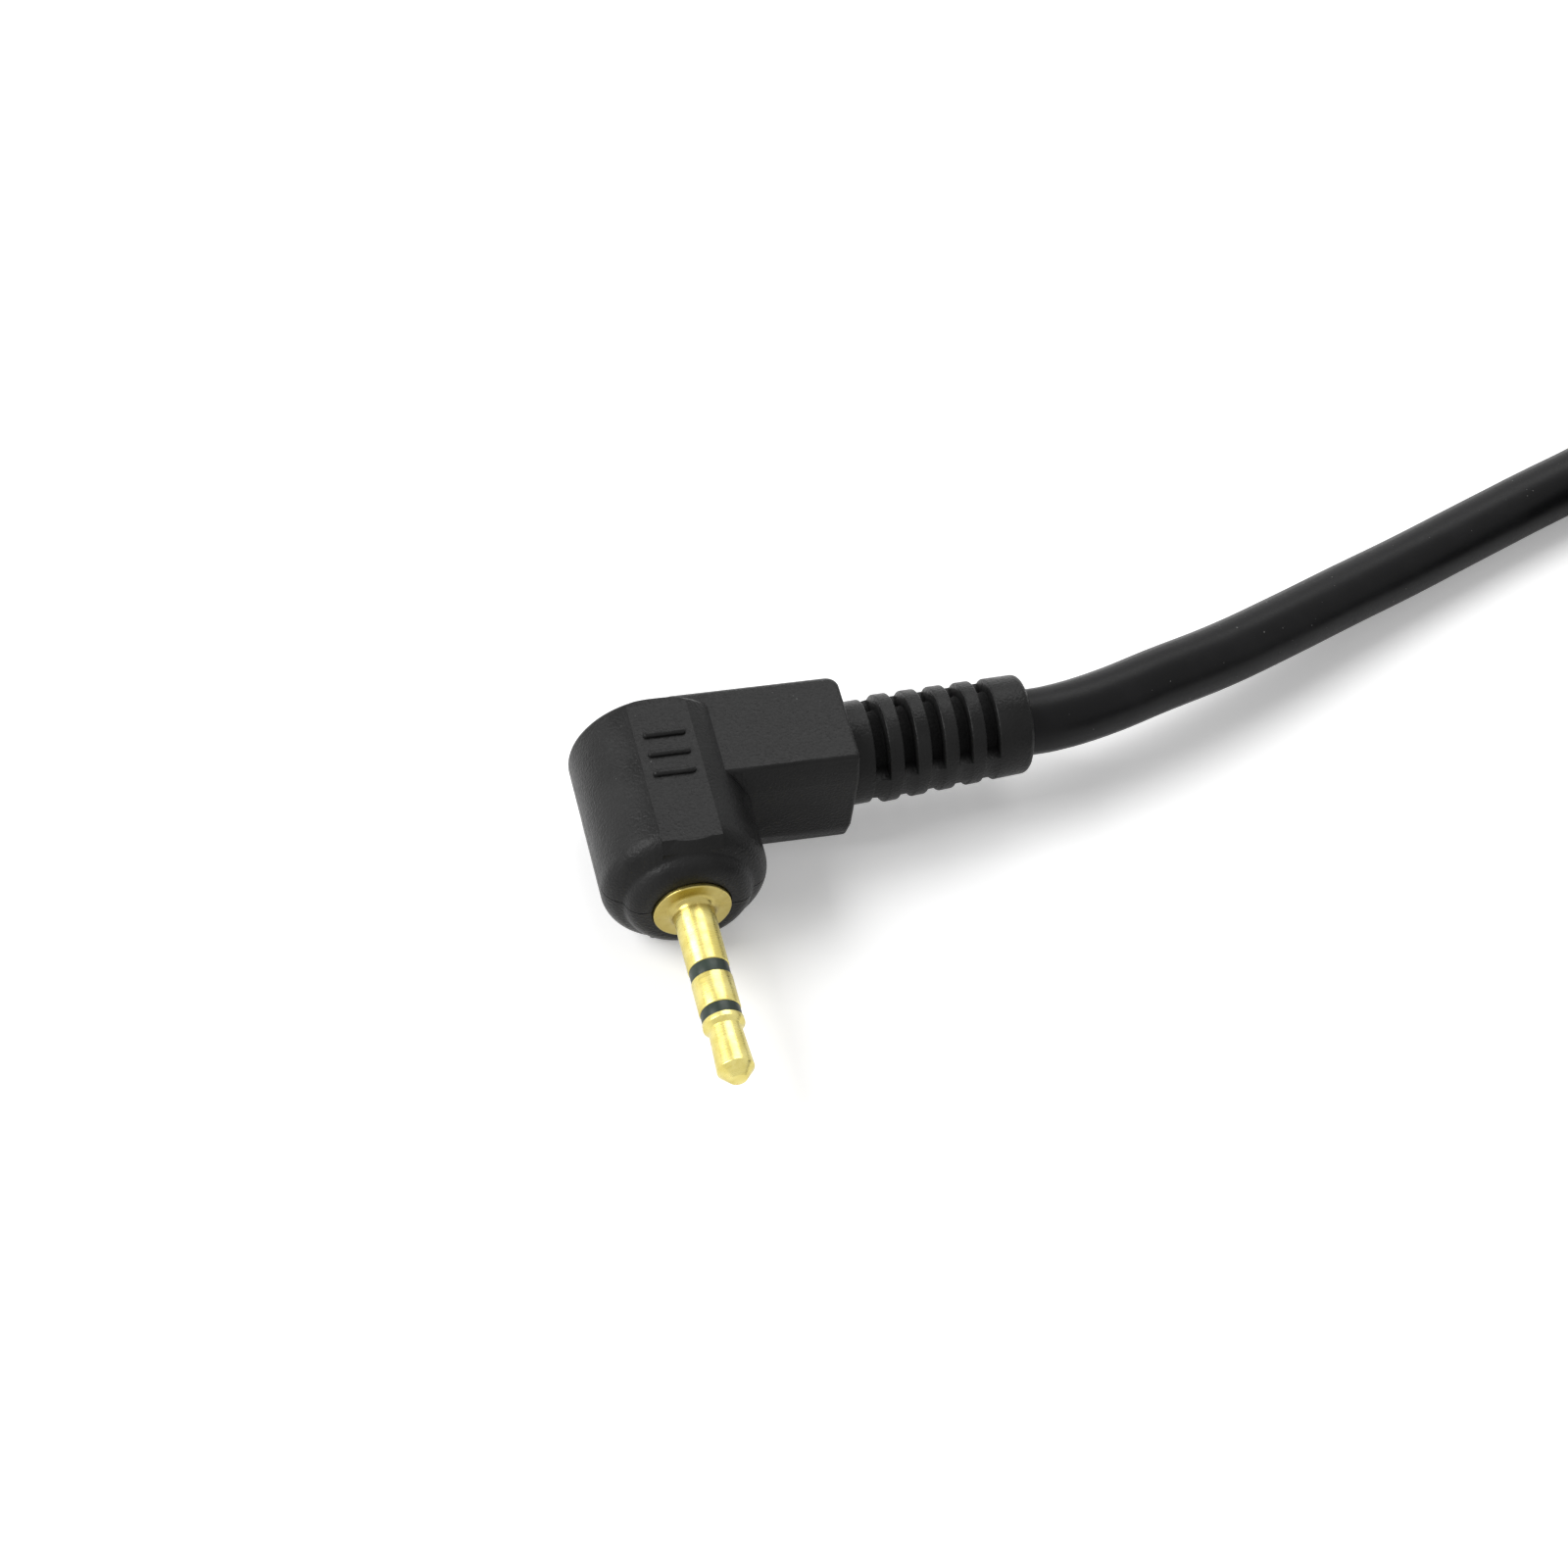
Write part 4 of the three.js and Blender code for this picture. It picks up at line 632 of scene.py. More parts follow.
# the sleeve's slot floors are painted dark as shade
SLEEVE = SlottedPlastic("sleeve_look", (24, 24, 24), 0.33, 0.17, 0.045, shine=0.13)
BAND = MouldedPlastic("band_look", (36, 48, 40), 0.34, 0.2, 0.006, shine=0.3)
JACKET = CordJacket("cord_look", (17, 17, 18))
RUBBER = SoftRubber("rubber_look", (31, 31, 32))
STRAP = WovenStrap("strap_look", (40, 40, 42))
GOLD = GoldPlate("gold_look", (208, 193, 110), roughness=0.28)
BRONZE = BareMetal("bronze_look", (203, 164, 96), (8, 1, 1))
SPRING_STEEL = BareMetal("spring_look", (186, 188, 192), (1, 1, 4), 0.24)
DARK_STEEL = BareMetal("screw_look", (66, 66, 68), (1, 1, 1), 0.34)
COPPER = BareMetal("copper_look", (190, 118, 74), (6, 1, 1), 0.32)
WHITE_WIRE = MouldedPlastic("white_wire_look", (228, 226, 216), 0.4, 0.2, 0.004, 0.02)
RED_WIRE = MouldedPlastic("red_wire_look", (176, 38, 30), 0.4, 0.2, 0.004, 0.05)


# ------------------------------------------------------------------------------------------ mesh kit


def rounded(corners: Sequence[Corner], closed: bool = False, steps: int = 6) -> Outline:
    """Rounds the corners of an outline.

    Args:
        corners: (x, y, radius) of each corner, a radius of 0 leaving it sharp.
        closed: whether the last corner joins the first.
        steps: straight pieces in each rounded corner.

    Returns:
        The outline's points.
    """
    points: Outline = []
    count = len(corners)
    for i, (x, y, radius) in enumerate(corners):
        at_end = not closed and i in (0, count - 1)
        if radius <= 0 or at_end:
            points.append((x, y))
            continue
        here = Vector((x, y))
        before = Vector(corners[i - 1][:2]) - here
        after = Vector(corners[(i + 1) % count][:2]) - here
        half = before.angle(after) / 2
        room = min(before.length, after.length) * CORNER_SHARE
        reach = min(radius / math.tan(half), room)
        radius = reach * math.tan(half)
        inwards = (before.normalized() + after.normalized()).normalized()
        centre = here + inwards * (radius / math.sin(half))
        start = (here + before.normalized() * reach - centre).normalized()
        end = (here + after.normalized() * reach - centre).normalized()
        for k in range(steps + 1):
            points.append(tuple(centre + start.slerp(end, k / steps) * radius))
    return points


def arc(centre: Spot, radius: float, turn: Spot, steps: int = 12) -> list[Corner]:
    """Returns sharp corners on an arc between two angles in degrees."""
    start, end = turn
    turns = [math.radians(start + (end - start) * k / steps) for k in range(steps + 1)]
    return [(centre[0] + radius * math.cos(t), centre[1] + radius * math.sin(t), 0) for t in turns]


def quarter(steps: int) -> list[float]:
    """Returns angles from 0 to a right angle."""
    return [math.pi / 2 * k / steps for k in range(steps + 1)]


def spun(
    profile: Iterable[Spot],
    axis: Axis,
    steps: int = 96,
    closed: bool = False,
    middle: Point = (0, 0, 0),
) -> Shape:
    """Spins a profile all the way round.

    Args:
        profile: (radius, distance along the axis) of each corner.
        axis: the axis it turns about.
        steps: how many faces go round.
        closed: whether the last corner joins the first, as on a tube.
        middle: a point on the axis.

    Returns:
        The turned shape.
    """
    shape = bmesh.new()
    corners = [shape.verts.new(axis.point(a, r) + Vector(middle)) for r, a in profile]
    edges = [shape.edges.new(pair) for pair in zip(corners, corners[1:])]
    if closed:
        edges.append(shape.edges.new((corners[-1], corners[0])))
    bmesh.ops.spin(
        shape,
        geom=corners + edges,
        cent=middle,
        axis=axis.value,
        dvec=(0, 0, 0),
        angle=FULL_TURN,
        steps=steps,
        use_merge=True,
        use_duplicate=False,
    )
    bmesh.ops.remove_doubles(shape, verts=shape.verts, dist=TOUCH)
    bmesh.ops.recalc_face_normals(shape, faces=shape.faces)
    return shape


def bar(axis: Axis, radius: float, ends: Spot, middle: Point, steps: int = 96) -> Shape:
    """Returns a round bar between two places along an axis."""
    low, high = ends
    return spun([(0, low), (radius, low), (radius, high), (0, high)], axis, steps, middle=middle)


def block(low: Point, high: Point, edge: float = 0.0, segments: int = 3) -> Shape:
    """Makes a block.

    Args:
        low: its lowest corner.
        high: its highest corner.
        edge: the rounding of its edges.
        segments: faces across each rounded edge.

    Returns:
        The block.
    """
    size = Vector(high) - Vector(low)
    place = Matrix.Translation((Vector(low) + Vector(high)) / 2) @ Matrix.Diagonal((*size, 1))
    shape = bmesh.new()
    bmesh.ops.create_cube(shape, size=1, matrix=place)
    if edge > 0:
        soften(shape, list(shape.edges), edge, segments)
    return shape


def soften(shape: Shape, edges: Sequence[bmesh.types.BMEdge], width: float, segments: int = 3) -> None:
    """Rounds edges of a shape.

    Args:
        shape: the shape that has them.
        edges: the edges.
        width: how far the rounding reaches from each.
        segments: faces across it.
    """
    bmesh.ops.bevel(
        shape,
        geom=edges,
        offset=width,
        offset_type="OFFSET",
        affect="EDGES",
        segments=segments,
        profile=0.5,
        material=-1,
        clamp_overlap=True,
    )


def extruded(outline: Sequence[Spot], axis: Axis, low: float, high: float) -> Shape:
    """Extrudes an outline along an axis.

    Args:
        outline: its corners: (y, z) for the X axis, (x, z) for Y, (x, y) for Z.
        axis: the way it is extruded.
        low: where it starts.
        high: where it ends.

    Returns:
        The prism.
    """
    shape = bmesh.new()
    face = shape.faces.new([shape.verts.new(axis.point(low, *corner)) for corner in outline])
    grown = bmesh.ops.extrude_face_region(shape, geom=[face])
    moved = [part for part in grown["geom"] if isinstance(part, bmesh.types.BMVert)]
    bmesh.ops.translate(shape, verts=moved, vec=Vector(axis.value) * (high - low))
    bmesh.ops.recalc_face_normals(shape, faces=shape.faces)
    return shape


def lofted(rings: Sequence[Sequence[Point]]) -> Shape:
    """Makes a body through rings, closed at both ends.

    Args:
        rings: its cross sections in order, each with as many points.

    Returns:
        The body.
    """
    shape = bmesh.new()
    loops = []
    for ring in rings:
        corners = [shape.verts.new(point) for point in ring]
        loops.append([shape.edges.new(pair) for pair in zip(corners, corners[1:] + corners[:1])])
    for low, high in zip(loops, loops[1:]):
        bmesh.ops.bridge_loops(shape, edges=low + high)
    bmesh.ops.holes_fill(shape, edges=loops[0] + loops[-1], sides=0)
    bmesh.ops.recalc_face_normals(shape, faces=shape.faces)
    return shape


def stacked(outline: Callable[[float], Outline], rows: Iterable[Spot]) -> Shape:
    """Makes a body that follows an outline upwards.

    Args:
        outline: returns the outline, changed by an amount.
        rows: (amount, height) of each copy of it.

    Returns:
        The body.
    """
    return lofted([[(x, y, z) for x, y in outline(amount)] for amount, z in rows])


def gathered(*shapes: Shape) -> Shape:
    """Puts shapes that don't touch into one.

    Args:
        shapes: the shapes, which are used up.

    Returns:
        The one shape.
    """
    all_of_them = bmesh.new()
    for shape in shapes:
        mesh = bpy.data.meshes.new("gathered")
        shape.to_mesh(mesh)
        shape.free()
        all_of_them.from_mesh(mesh)
        bpy.data.meshes.remove(mesh)
    return all_of_them


def rounded_rectangle(middle: Spot, length: float, width: float, corner: float) -> Outline:
    """Draws a rectangle with round corners.

    Args:
        middle: its middle.
        length: its size along the first axis.
        width: its size along the second.
        corner: the radius of its corners.

    Returns:
        Its outline.
    """
    x, y = middle
    half, side = length / 2, width / 2
    corners = [(x + half * u, y + side * v, corner) for u, v in ((1, 1), (-1, 1), (-1, -1), (1, -1))]
    return rounded(corners, closed=True, steps=10)


def open_edges(shape: Shape) -> list[bmesh.types.BMEdge]:
    """Returns the edges that only one face has."""
    return [edge for edge in shape.edges if edge.is_boundary]


def edges_at(shape: Shape, axis: Axis, place: float) -> list[bmesh.types.BMEdge]:
    """Returns the edges that lie in a plane square to an axis."""
    way = Vector(axis.value)
    return [e for e in shape.edges if all(abs(v.co.dot(way) - place) < TOUCH for v in e.verts)]


def placed(name: str, data: bpy.types.ID) -> Piece:
    """Makes an object of a mesh, a curve, a lamp or a camera and puts it in the scene."""
    made = bpy.data.objects.new(name, data)
    bpy.context.scene.collection.objects.link(made)
    return made


class Combining(Enum):
    """How a shape is combined with a workpiece."""

    JOIN = "UNION"
    CUT = "DIFFERENCE"
    KEEP = "INTERSECT"


class Workpiece:
    """A mesh in millimetres that others are joined to and cut from until it is a finished piece.

    Points nearer to each other than a speck are merged in the end, and slivers of a few sides are closed.
    """

    SPECK = 0.002
    SLIVER_SIDES = 8

    def __init__(self, shape: Shape) -> None:
        """Takes a shape onto the bench.

        Args:
            shape: the shape, which is used up.
        """
        mesh = bpy.data.meshes.new("bench")
        shape.to_mesh(mesh)
        shape.free()
        self.holder = placed("bench", mesh)

    def _settle(self) -> None:
        """Applies the holder's modifiers."""
        graph = bpy.context.evaluated_depsgraph_get()
        made = bpy.data.meshes.new_from_object(self.holder.evaluated_get(graph))
        self.holder.modifiers.clear()
        used = self.holder.data
        self.holder.data = made
        bpy.data.meshes.remove(used)

    def _combine(self, shape: Shape, how: Combining) -> None:
        """Combines another shape with the piece.

        Args:
            shape: the shape, which is used up.
            how: whether it is joined, cut away or kept.
        """
        tool = Workpiece(shape)
        modifier = self.holder.modifiers.new("combine", "BOOLEAN")
        modifier.operation = how.value
        modifier.solver = "EXACT"
        modifier.object = tool.holder
        self._settle()
        bpy.data.meshes.remove(tool.holder.data)

    def taken(self) -> Shape:
        """Takes the piece off the bench, to be used as a tool.

        Returns:
            The piece as a shape.
        """
        shape = bmesh.new()
        shape.from_mesh(self.holder.data)
        bpy.data.meshes.remove(self.holder.data)
        return shape

    def join(self, *shapes: Shape) -> None:
        """Joins shapes to the piece."""
        for shape in shapes:
            self._combine(shape, Combining.JOIN)

    def cut(self, *shapes: Shape) -> None:
        """Cuts shapes from the piece."""
        for shape in shapes:
            self._combine(shape, Combining.CUT)

    def keep(self, shape: Shape) -> None:
        """Keeps what lies inside a shape."""
        self._combine(shape, Combining.KEEP)

    def bend(self, start: float, slope: float) -> None:
        """Leans what lies past a place on the X axis towards +Y."""
        for vertex in self.holder.data.vertices:
            vertex.co.y += slope * max(0.0, vertex.co.x - start)

    def _tidied(self) -> None:
        """Merges what the cuts left doubled and closes the slivers that they left open."""
        shape = bmesh.new()
        shape.from_mesh(self.holder.data)
        bmesh.ops.remove_doubles(shape, verts=shape.verts, dist=self.SPECK)
        bmesh.ops.dissolve_degenerate(shape, edges=shape.edges, dist=self.SPECK)
        bmesh.ops.holes_fill(shape, edges=open_edges(shape), sides=self.SLIVER_SIDES)
        shape.to_mesh(self.holder.data)
        shape.free()

    def finished(
        self,
        name: str,
        body: str,
        finish: Finish,
        replaces: Sequence[str],
        origin: Sequence[float] = (0, 0, 0),
        sharp: float = 32.0,
    ) -> Piece:
        """Turns the workpiece into a piece of the object.

        Args:
            name: the piece's name.
            body: the CAD body it rides on.
            finish: its surface.
            replaces: the CAD nodes that it stands for.
            origin: where the workpiece's own origin lies, in metres.
            sharp: the angle in degrees over which an edge stays sharp.

        Returns:
            The piece.
        """
        self._tidied()
        mesh = self.holder.data
        mesh.transform(Matrix.Translation(Vector(origin)) @ Matrix.Scale(MM, 4))
        mesh.shade_smooth()
        mesh.set_sharp_from_angle(angle=math.radians(sharp))
        weighted = self.holder.modifiers.new("normals", "WEIGHTED_NORMAL")
        weighted.keep_sharp = True
        self._settle()
        self.holder.name = name
        self.holder.data.name = name
        return settled(self.holder, body, finish, replaces)


def settled(piece: Piece, body: str, finish: Finish, replaces: Sequence[str]) -> Piece:
    """Dresses a piece and puts it on its body.

    Args:
        piece: the object.
        body: the CAD body it rides on.
        finish: its surface.
        replaces: the CAD nodes that it stands for.

    Returns:
        The piece.
    """
    piece.data.materials.clear()
    piece.data.materials.append(finish.material())
    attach(piece, body)
    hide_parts(*replaces)
    log.info("made %s on %s", piece.name, body)
    return piece


# ---------------------------------------------------------------------------------------------- cord


@dataclass
class Cord:
    """The cord from the hand switch to the plug, with its unseen length in a two-layer coil.

    The leads are steps from where the cord leaves the boot or the plug. The knots of to_switch run from
    the boot to the coil, and those of to_plug from the coil to the plug.
    """

    diameter: float = 4.1
    boot_end: Point = (60, 0, 8)
    plug_end: Point = (-75.8, 41.95, 4.92)
    coil_middle: Spot = (-3.4, 42.5)
    coil_radius: float = 26.1
    coil_turns: float = 3.125
    coil_start: float = 112.5
    coil_spacing: float = 4.6
    turn_steps: int = 24
    tie_angle: float = -15
    tie_lift: float = 0.95
    tie_rise: float = 13
    coil_lead: float = 8
    end_gap: float = 0.3
    boot_lead: Point = (4.4, 0, -0.1)
    plug_leads: tuple[Point, Point] = ((5.3, 0.9, -0.2), (1.9, 0.1, 0))
    to_switch: tuple[Point, ...] = (
        (73.2, 1.9, 6.9),
        (79, 8, 4.9),
        (80.9, 16, 3.2),
        (78.6, 24.2, 2.3),
        (72.3, 31.4, 2.05),
        (62, 39.1, 2.05),
        (50, 46.4, 2.3),
        (38, 52.8, 3.3),
        (26, 58.4, 5.1),
    )
    to_plug: tuple[Point, ...] = (
        (-28.3, 60.6, 2.05),
        (-36, 57.4, 2.05),
        (-41, 55.3, 2.1),
        (-46, 53.1, 2.3),
        (-51, 50.9, 2.7),
        (-56, 48.6, 3.2),
        (-61, 46.4, 3.72),
        (-66, 44.5, 4.32),
    )
    hidden: float = 1.2
    lean: float = SLEEVE.lean
    length: float = 0.6345
    round_steps: int = 6
    knot_steps: int = 4

    def _coil(self) -> list[Vector]:
        """Lays the coil: inwards on the floor, up, and outwards again on top, with a rise at the tie.

        Returns:
            The coil's points, from the plug's side to the switch's.
        """
        sweep = FULL_TURN * self.coil_turns
        steps = round(self.turn_steps * self.coil_turns)
        points = []
        for i in range(steps + 1):
            turn = sweep * i / steps
            from_middle = turn - sweep / 2
            inwards = self.coil_spacing * (sweep / 2 - abs(from_middle)) / FULL_TURN
            radius = self.coil_radius - inwards
            climbed = min(max(from_middle / math.pi + 0.5, 0), 1)
            climb = climbed * climbed * (3 - 2 * climbed)
            angle = math.radians(self.coil_start) - turn
            from_tie = (angle - math.radians(self.tie_angle) + math.pi) % FULL_TURN - math.pi
            lift = self.tie_lift * math.exp(-((from_tie * radius / self.tie_rise) ** 2))
            x = self.coil_middle[0] + radius * math.cos(angle)
            y = self.coil_middle[1] + radius * math.sin(angle)
            points.append(Vector((x, y, self.diameter / 2 + self.coil_spacing * climb + lift)))
        return points

    def route(self) -> list[Vector]:
        """Lays the cord from the switch's boot to the plug.

        Returns:
            Its points in millimetres.
        """
        coil = self._coil()
        boot = Vector(self.boot_end)
        plug = Vector(self.plug_end)
        leave = (coil[-1] - coil[-2]).normalized()
        enter = (coil[0] - coil[1]).normalized()
        return [
            boot - Vector((self.hidden, 0, 0)),
            boot + Vector((self.end_gap, 0, 0)),
            boot + Vector(self.boot_lead),
            *map(Vector, self.to_switch),
            coil[-1] + leave * self.coil_lead,
            coil[-1] + leave * self.diameter,
            *reversed(coil),
            coil[0] + enter * self.diameter,
            coil[0] + enter * self.coil_lead,
            *map(Vector, self.to_plug),
            *(plug + Vector(lead) for lead in self.plug_leads),
            plug + Vector((self.end_gap, 0, 0)),
            plug - Vector((self.hidden, self.hidden * self.lean, 0)),
        ]

    def build(self) -> Piece:
        """Makes the cord as one smooth curve.

        Returns:
            The cord.
        """
        points = self.route()
        curve = bpy.data.curves.new("cord", "CURVE")
        curve.dimensions = "3D"
        curve.bevel_depth = self.diameter / 2 * MM
        curve.bevel_resolution = self.round_steps
        curve.resolution_u = self.knot_steps
        curve.use_fill_caps = True
        spline = curve.splines.new("BEZIER")
        spline.bezier_points.add(len(points) - 1)
        for knot, point in zip(spline.bezier_points, points):
            knot.co = point * MM
            knot.handle_left_type = "AUTO"
            knot.handle_right_type = "AUTO"
        nodes = ["cord_to_switch", "cord_coil", "cord_to_plug"]
        return settled(placed("cord", curve), "switch_body", JACKET, nodes)


# ---------------------------------------------------------------------------------------------- plug


@dataclass
class PlugBody:
    """The plug's moulding: a round head on the pin's axis, with two flats, and an eight-cornered arm.

    Sizes are taken from the plug's origin, with the pin towards -Y and the arm towards +X. A corner of
    the head's profile is given as its radius and its depth behind the front of the pin's flange.
    """

    head_radius: float = 5.03
    head_back: float = 12.5
    head_fillet: float = 1.4
    fillet_start: float = 2.6
    head_edge: float = 0.45
    boss_radius: float = 3.91
    boss_front: float = 0.25
    boss_rounding: float = 1.1
    boss_arc: Spot = (-90, -25)
    valley: Corner = (3.93, 1.2, 0.3)  # radius, depth, rounding
    fillet_arc: Spot = (-60, 0)
    pad_half_width: float = 1.82
    pad_height: float = 4.7
    pad_front: float = 1.85
    pad_sink: float = 0.01
    pad_bevel: Spot = (0.55, 0.65)  # depth, drop
    rib_size: Point = (2.6, 0.45, 0.24)  # length, width, height
    rib_rounding: float = 0.2
    rib_root: float = 0.3
    rib_first: float = 6.8
    rib_pitch: float = 1.46
    rib_count: int = 3
    arm_middle: float = 10.18
    arm_half_depth: float = 3.75
    arm_half_height: float = 3.87
    arm_chamfer: float = 0.57
    arm_flat: float = 2.2
    arm_start: float = 0.2
    arm_end: float = 11.54
    arm_edges: tuple[float, float, float] = (0.16, 0.26, 0.55)  # near side, end, far side
    arm_corners: Spot = (1.1, 0.7)  # start, end
    mouth_radius: float = 2.38
    mouth_edge: float = 0.05
    mouth_rounding: float = 0.1
    core_radius: float = 3.25
    core: Spot = (0.95, 11.0)  # start, end
    relief_axis: float = 10.2
    relief_hole: float = 2.63
    relief_hole_start: float = 2.0
    seam_width: float = 0.06
    seam_depth: float = 0.07
    head_steps: int = 128
    hole_steps: int = 80
    edge_steps: int = 8

    def _head_profile(self, inset: float = 0.0) -> Outline:
        """Draws the head's profile.

        Args:
            inset: how far it is taken inwards.

        Returns:
            The profile.
        """
        soft, front = self.boss_rounding, self.boss_front
        boss = (self.boss_radius - soft, front + soft)
        fillet = (self.head_radius - self.head_fillet, self.fillet_start)
        edge = (self.head_radius - self.head_edge, self.head_back - self.head_edge)
        valley, depth, rounding = self.valley
        return rounded(
            [
                (0, front + inset, 0),
                *arc(boss, soft - inset, self.boss_arc),
                (valley - inset, depth + inset, rounding),
                *arc(fillet, self.head_fillet - inset, self.fillet_arc),
                *arc(edge, self.head_edge - inset, (0, 90), steps=5),
                (0, self.head_back - inset, 0),
            ]
        )

    def _hollow(self) -> Outline:
        """Draws the room for the pin: its mouth, and the wider core behind.

        Returns:
            The profile of the room.
        """
        start, end = self.core
        outside = self.boss_front - PAST
        return rounded(
            [
                (0, outside, 0),
                (self.mouth_radius + self.mouth_edge + PAST, outside, 0),
                (self.mouth_radius, self.boss_front + self.mouth_edge, self.mouth_rounding),
                (self.mouth_radius, start, 0),
                (self.core_radius, start, 0),
                (self.core_radius, end, 0),
                (0, end, 0),
            ]
        )

    def _pad(self) -> Shape:
        """Makes the flat pad through the head, bevelled at its pin end on both sides.

        Returns:
            The pad.
        """
        depth, drop = self.pad_bevel
        back = self.head_back - self.head_edge - self.pad_sink
        section = [
            (self.pad_front, self.pad_height),
            (self.pad_front - depth, self.pad_height - drop),
            (self.pad_front - depth, drop - self.pad_height),
            (self.pad_front, -self.pad_height),
            (back, -self.pad_height),
            (back, self.pad_height),
        ]
        return extruded(section, Axis.X, -self.pad_half_width, self.pad_half_width)

    def _arm(self) -> Shape:
        """Makes the arm: long chamfers along its top and bottom, round corners at its far side.

        Returns:
            The arm.
        """
        top, flat = self.arm_half_height, self.arm_flat
        near_edge, end_edge, far_edge = self.arm_edges
        start, end = self.arm_corners

        def gathered_in(height: float, radius: float) -> float:
            """Returns how far a rounded edge has drawn in at a height."""
            past = max(0.0, height - top + radius)
            return radius - math.sqrt(max(0.0, radius**2 - past**2))

        curved = [top - far_edge * (1 - math.sin(turn)) for turn in quarter(self.edge_steps)]
        rows = []
        for z in [-height for height in reversed(curved)] + [-flat, flat] + curved:
            height = abs(z)
            slope = self.arm_chamfer * (height - flat) / (top - flat)
            near = self.arm_middle - self.arm_half_depth + slope + gathered_in(height, near_edge)
            far = self.arm_middle + self.arm_half_depth - slope - gathered_in(height, far_edge)
            last = self.arm_end - gathered_in(height, end_edge)
            plan = [
                (self.arm_start, near, end_edge),
                (last, near, end_edge),
                (last, far, end),
                (self.arm_start, far, start),
            ]
            rows.append([(x, y, z) for x, y in rounded(plan, closed=True)])
        return lofted(rows)

    def _ribs(self) -> list[Shape]:
        """Makes the raised grip ribs of both flats.

        Returns:
            The ribs.
        """
        length, width, height = self.rib_size
        ribs = []
        for side in (-1, 1):
            for i in range(self.rib_count):
                y = self.rib_first + i * self.rib_pitch
                foot, top = self.pad_height - self.rib_root, self.pad_height + height
                low, high = sorted((side * foot, side * top))
                corners = ((-length / 2, y - width / 2, low), (length / 2, y + width / 2, high))
                ribs.append(block(*corners, self.rib_rounding, segments=4))
        return ribs

    def build(self, origin: Vector) -> Piece:
        """Makes the plug's body.

        Args:
            origin: the plug's origin in metres.

        Returns:
            The body.
        """
        height = self.pad_height - self.pad_sink
        reach, back = self.head_radius + PAST, self.head_back + PAST
        half_seam = self.seam_width / 2
        body = Workpiece(spun(self._head_profile(), Axis.Y, self.head_steps))
        seam = Workpiece(block((-reach, -PAST, -half_seam), (reach, back, half_seam)))
        seam.cut(spun(self._head_profile(self.seam_depth), Axis.Y, self.head_steps))
        body.cut(seam.taken())
        body.keep(block((-reach, -PAST, -height), (reach, back, height)))
        body.join(self._pad(), self._arm(), *self._ribs())
        relief_hole = (self.relief_hole_start, self.arm_end + PAST)
        body.cut(
            spun(self._hollow(), Axis.Y),
            bar(Axis.X, self.relief_hole, relief_hole, (0, self.relief_axis, 0), self.hole_steps),
        )
        return body.finished(
            "plug_body", "switch_body", PLUG, ["plug_housing"], origin
        )


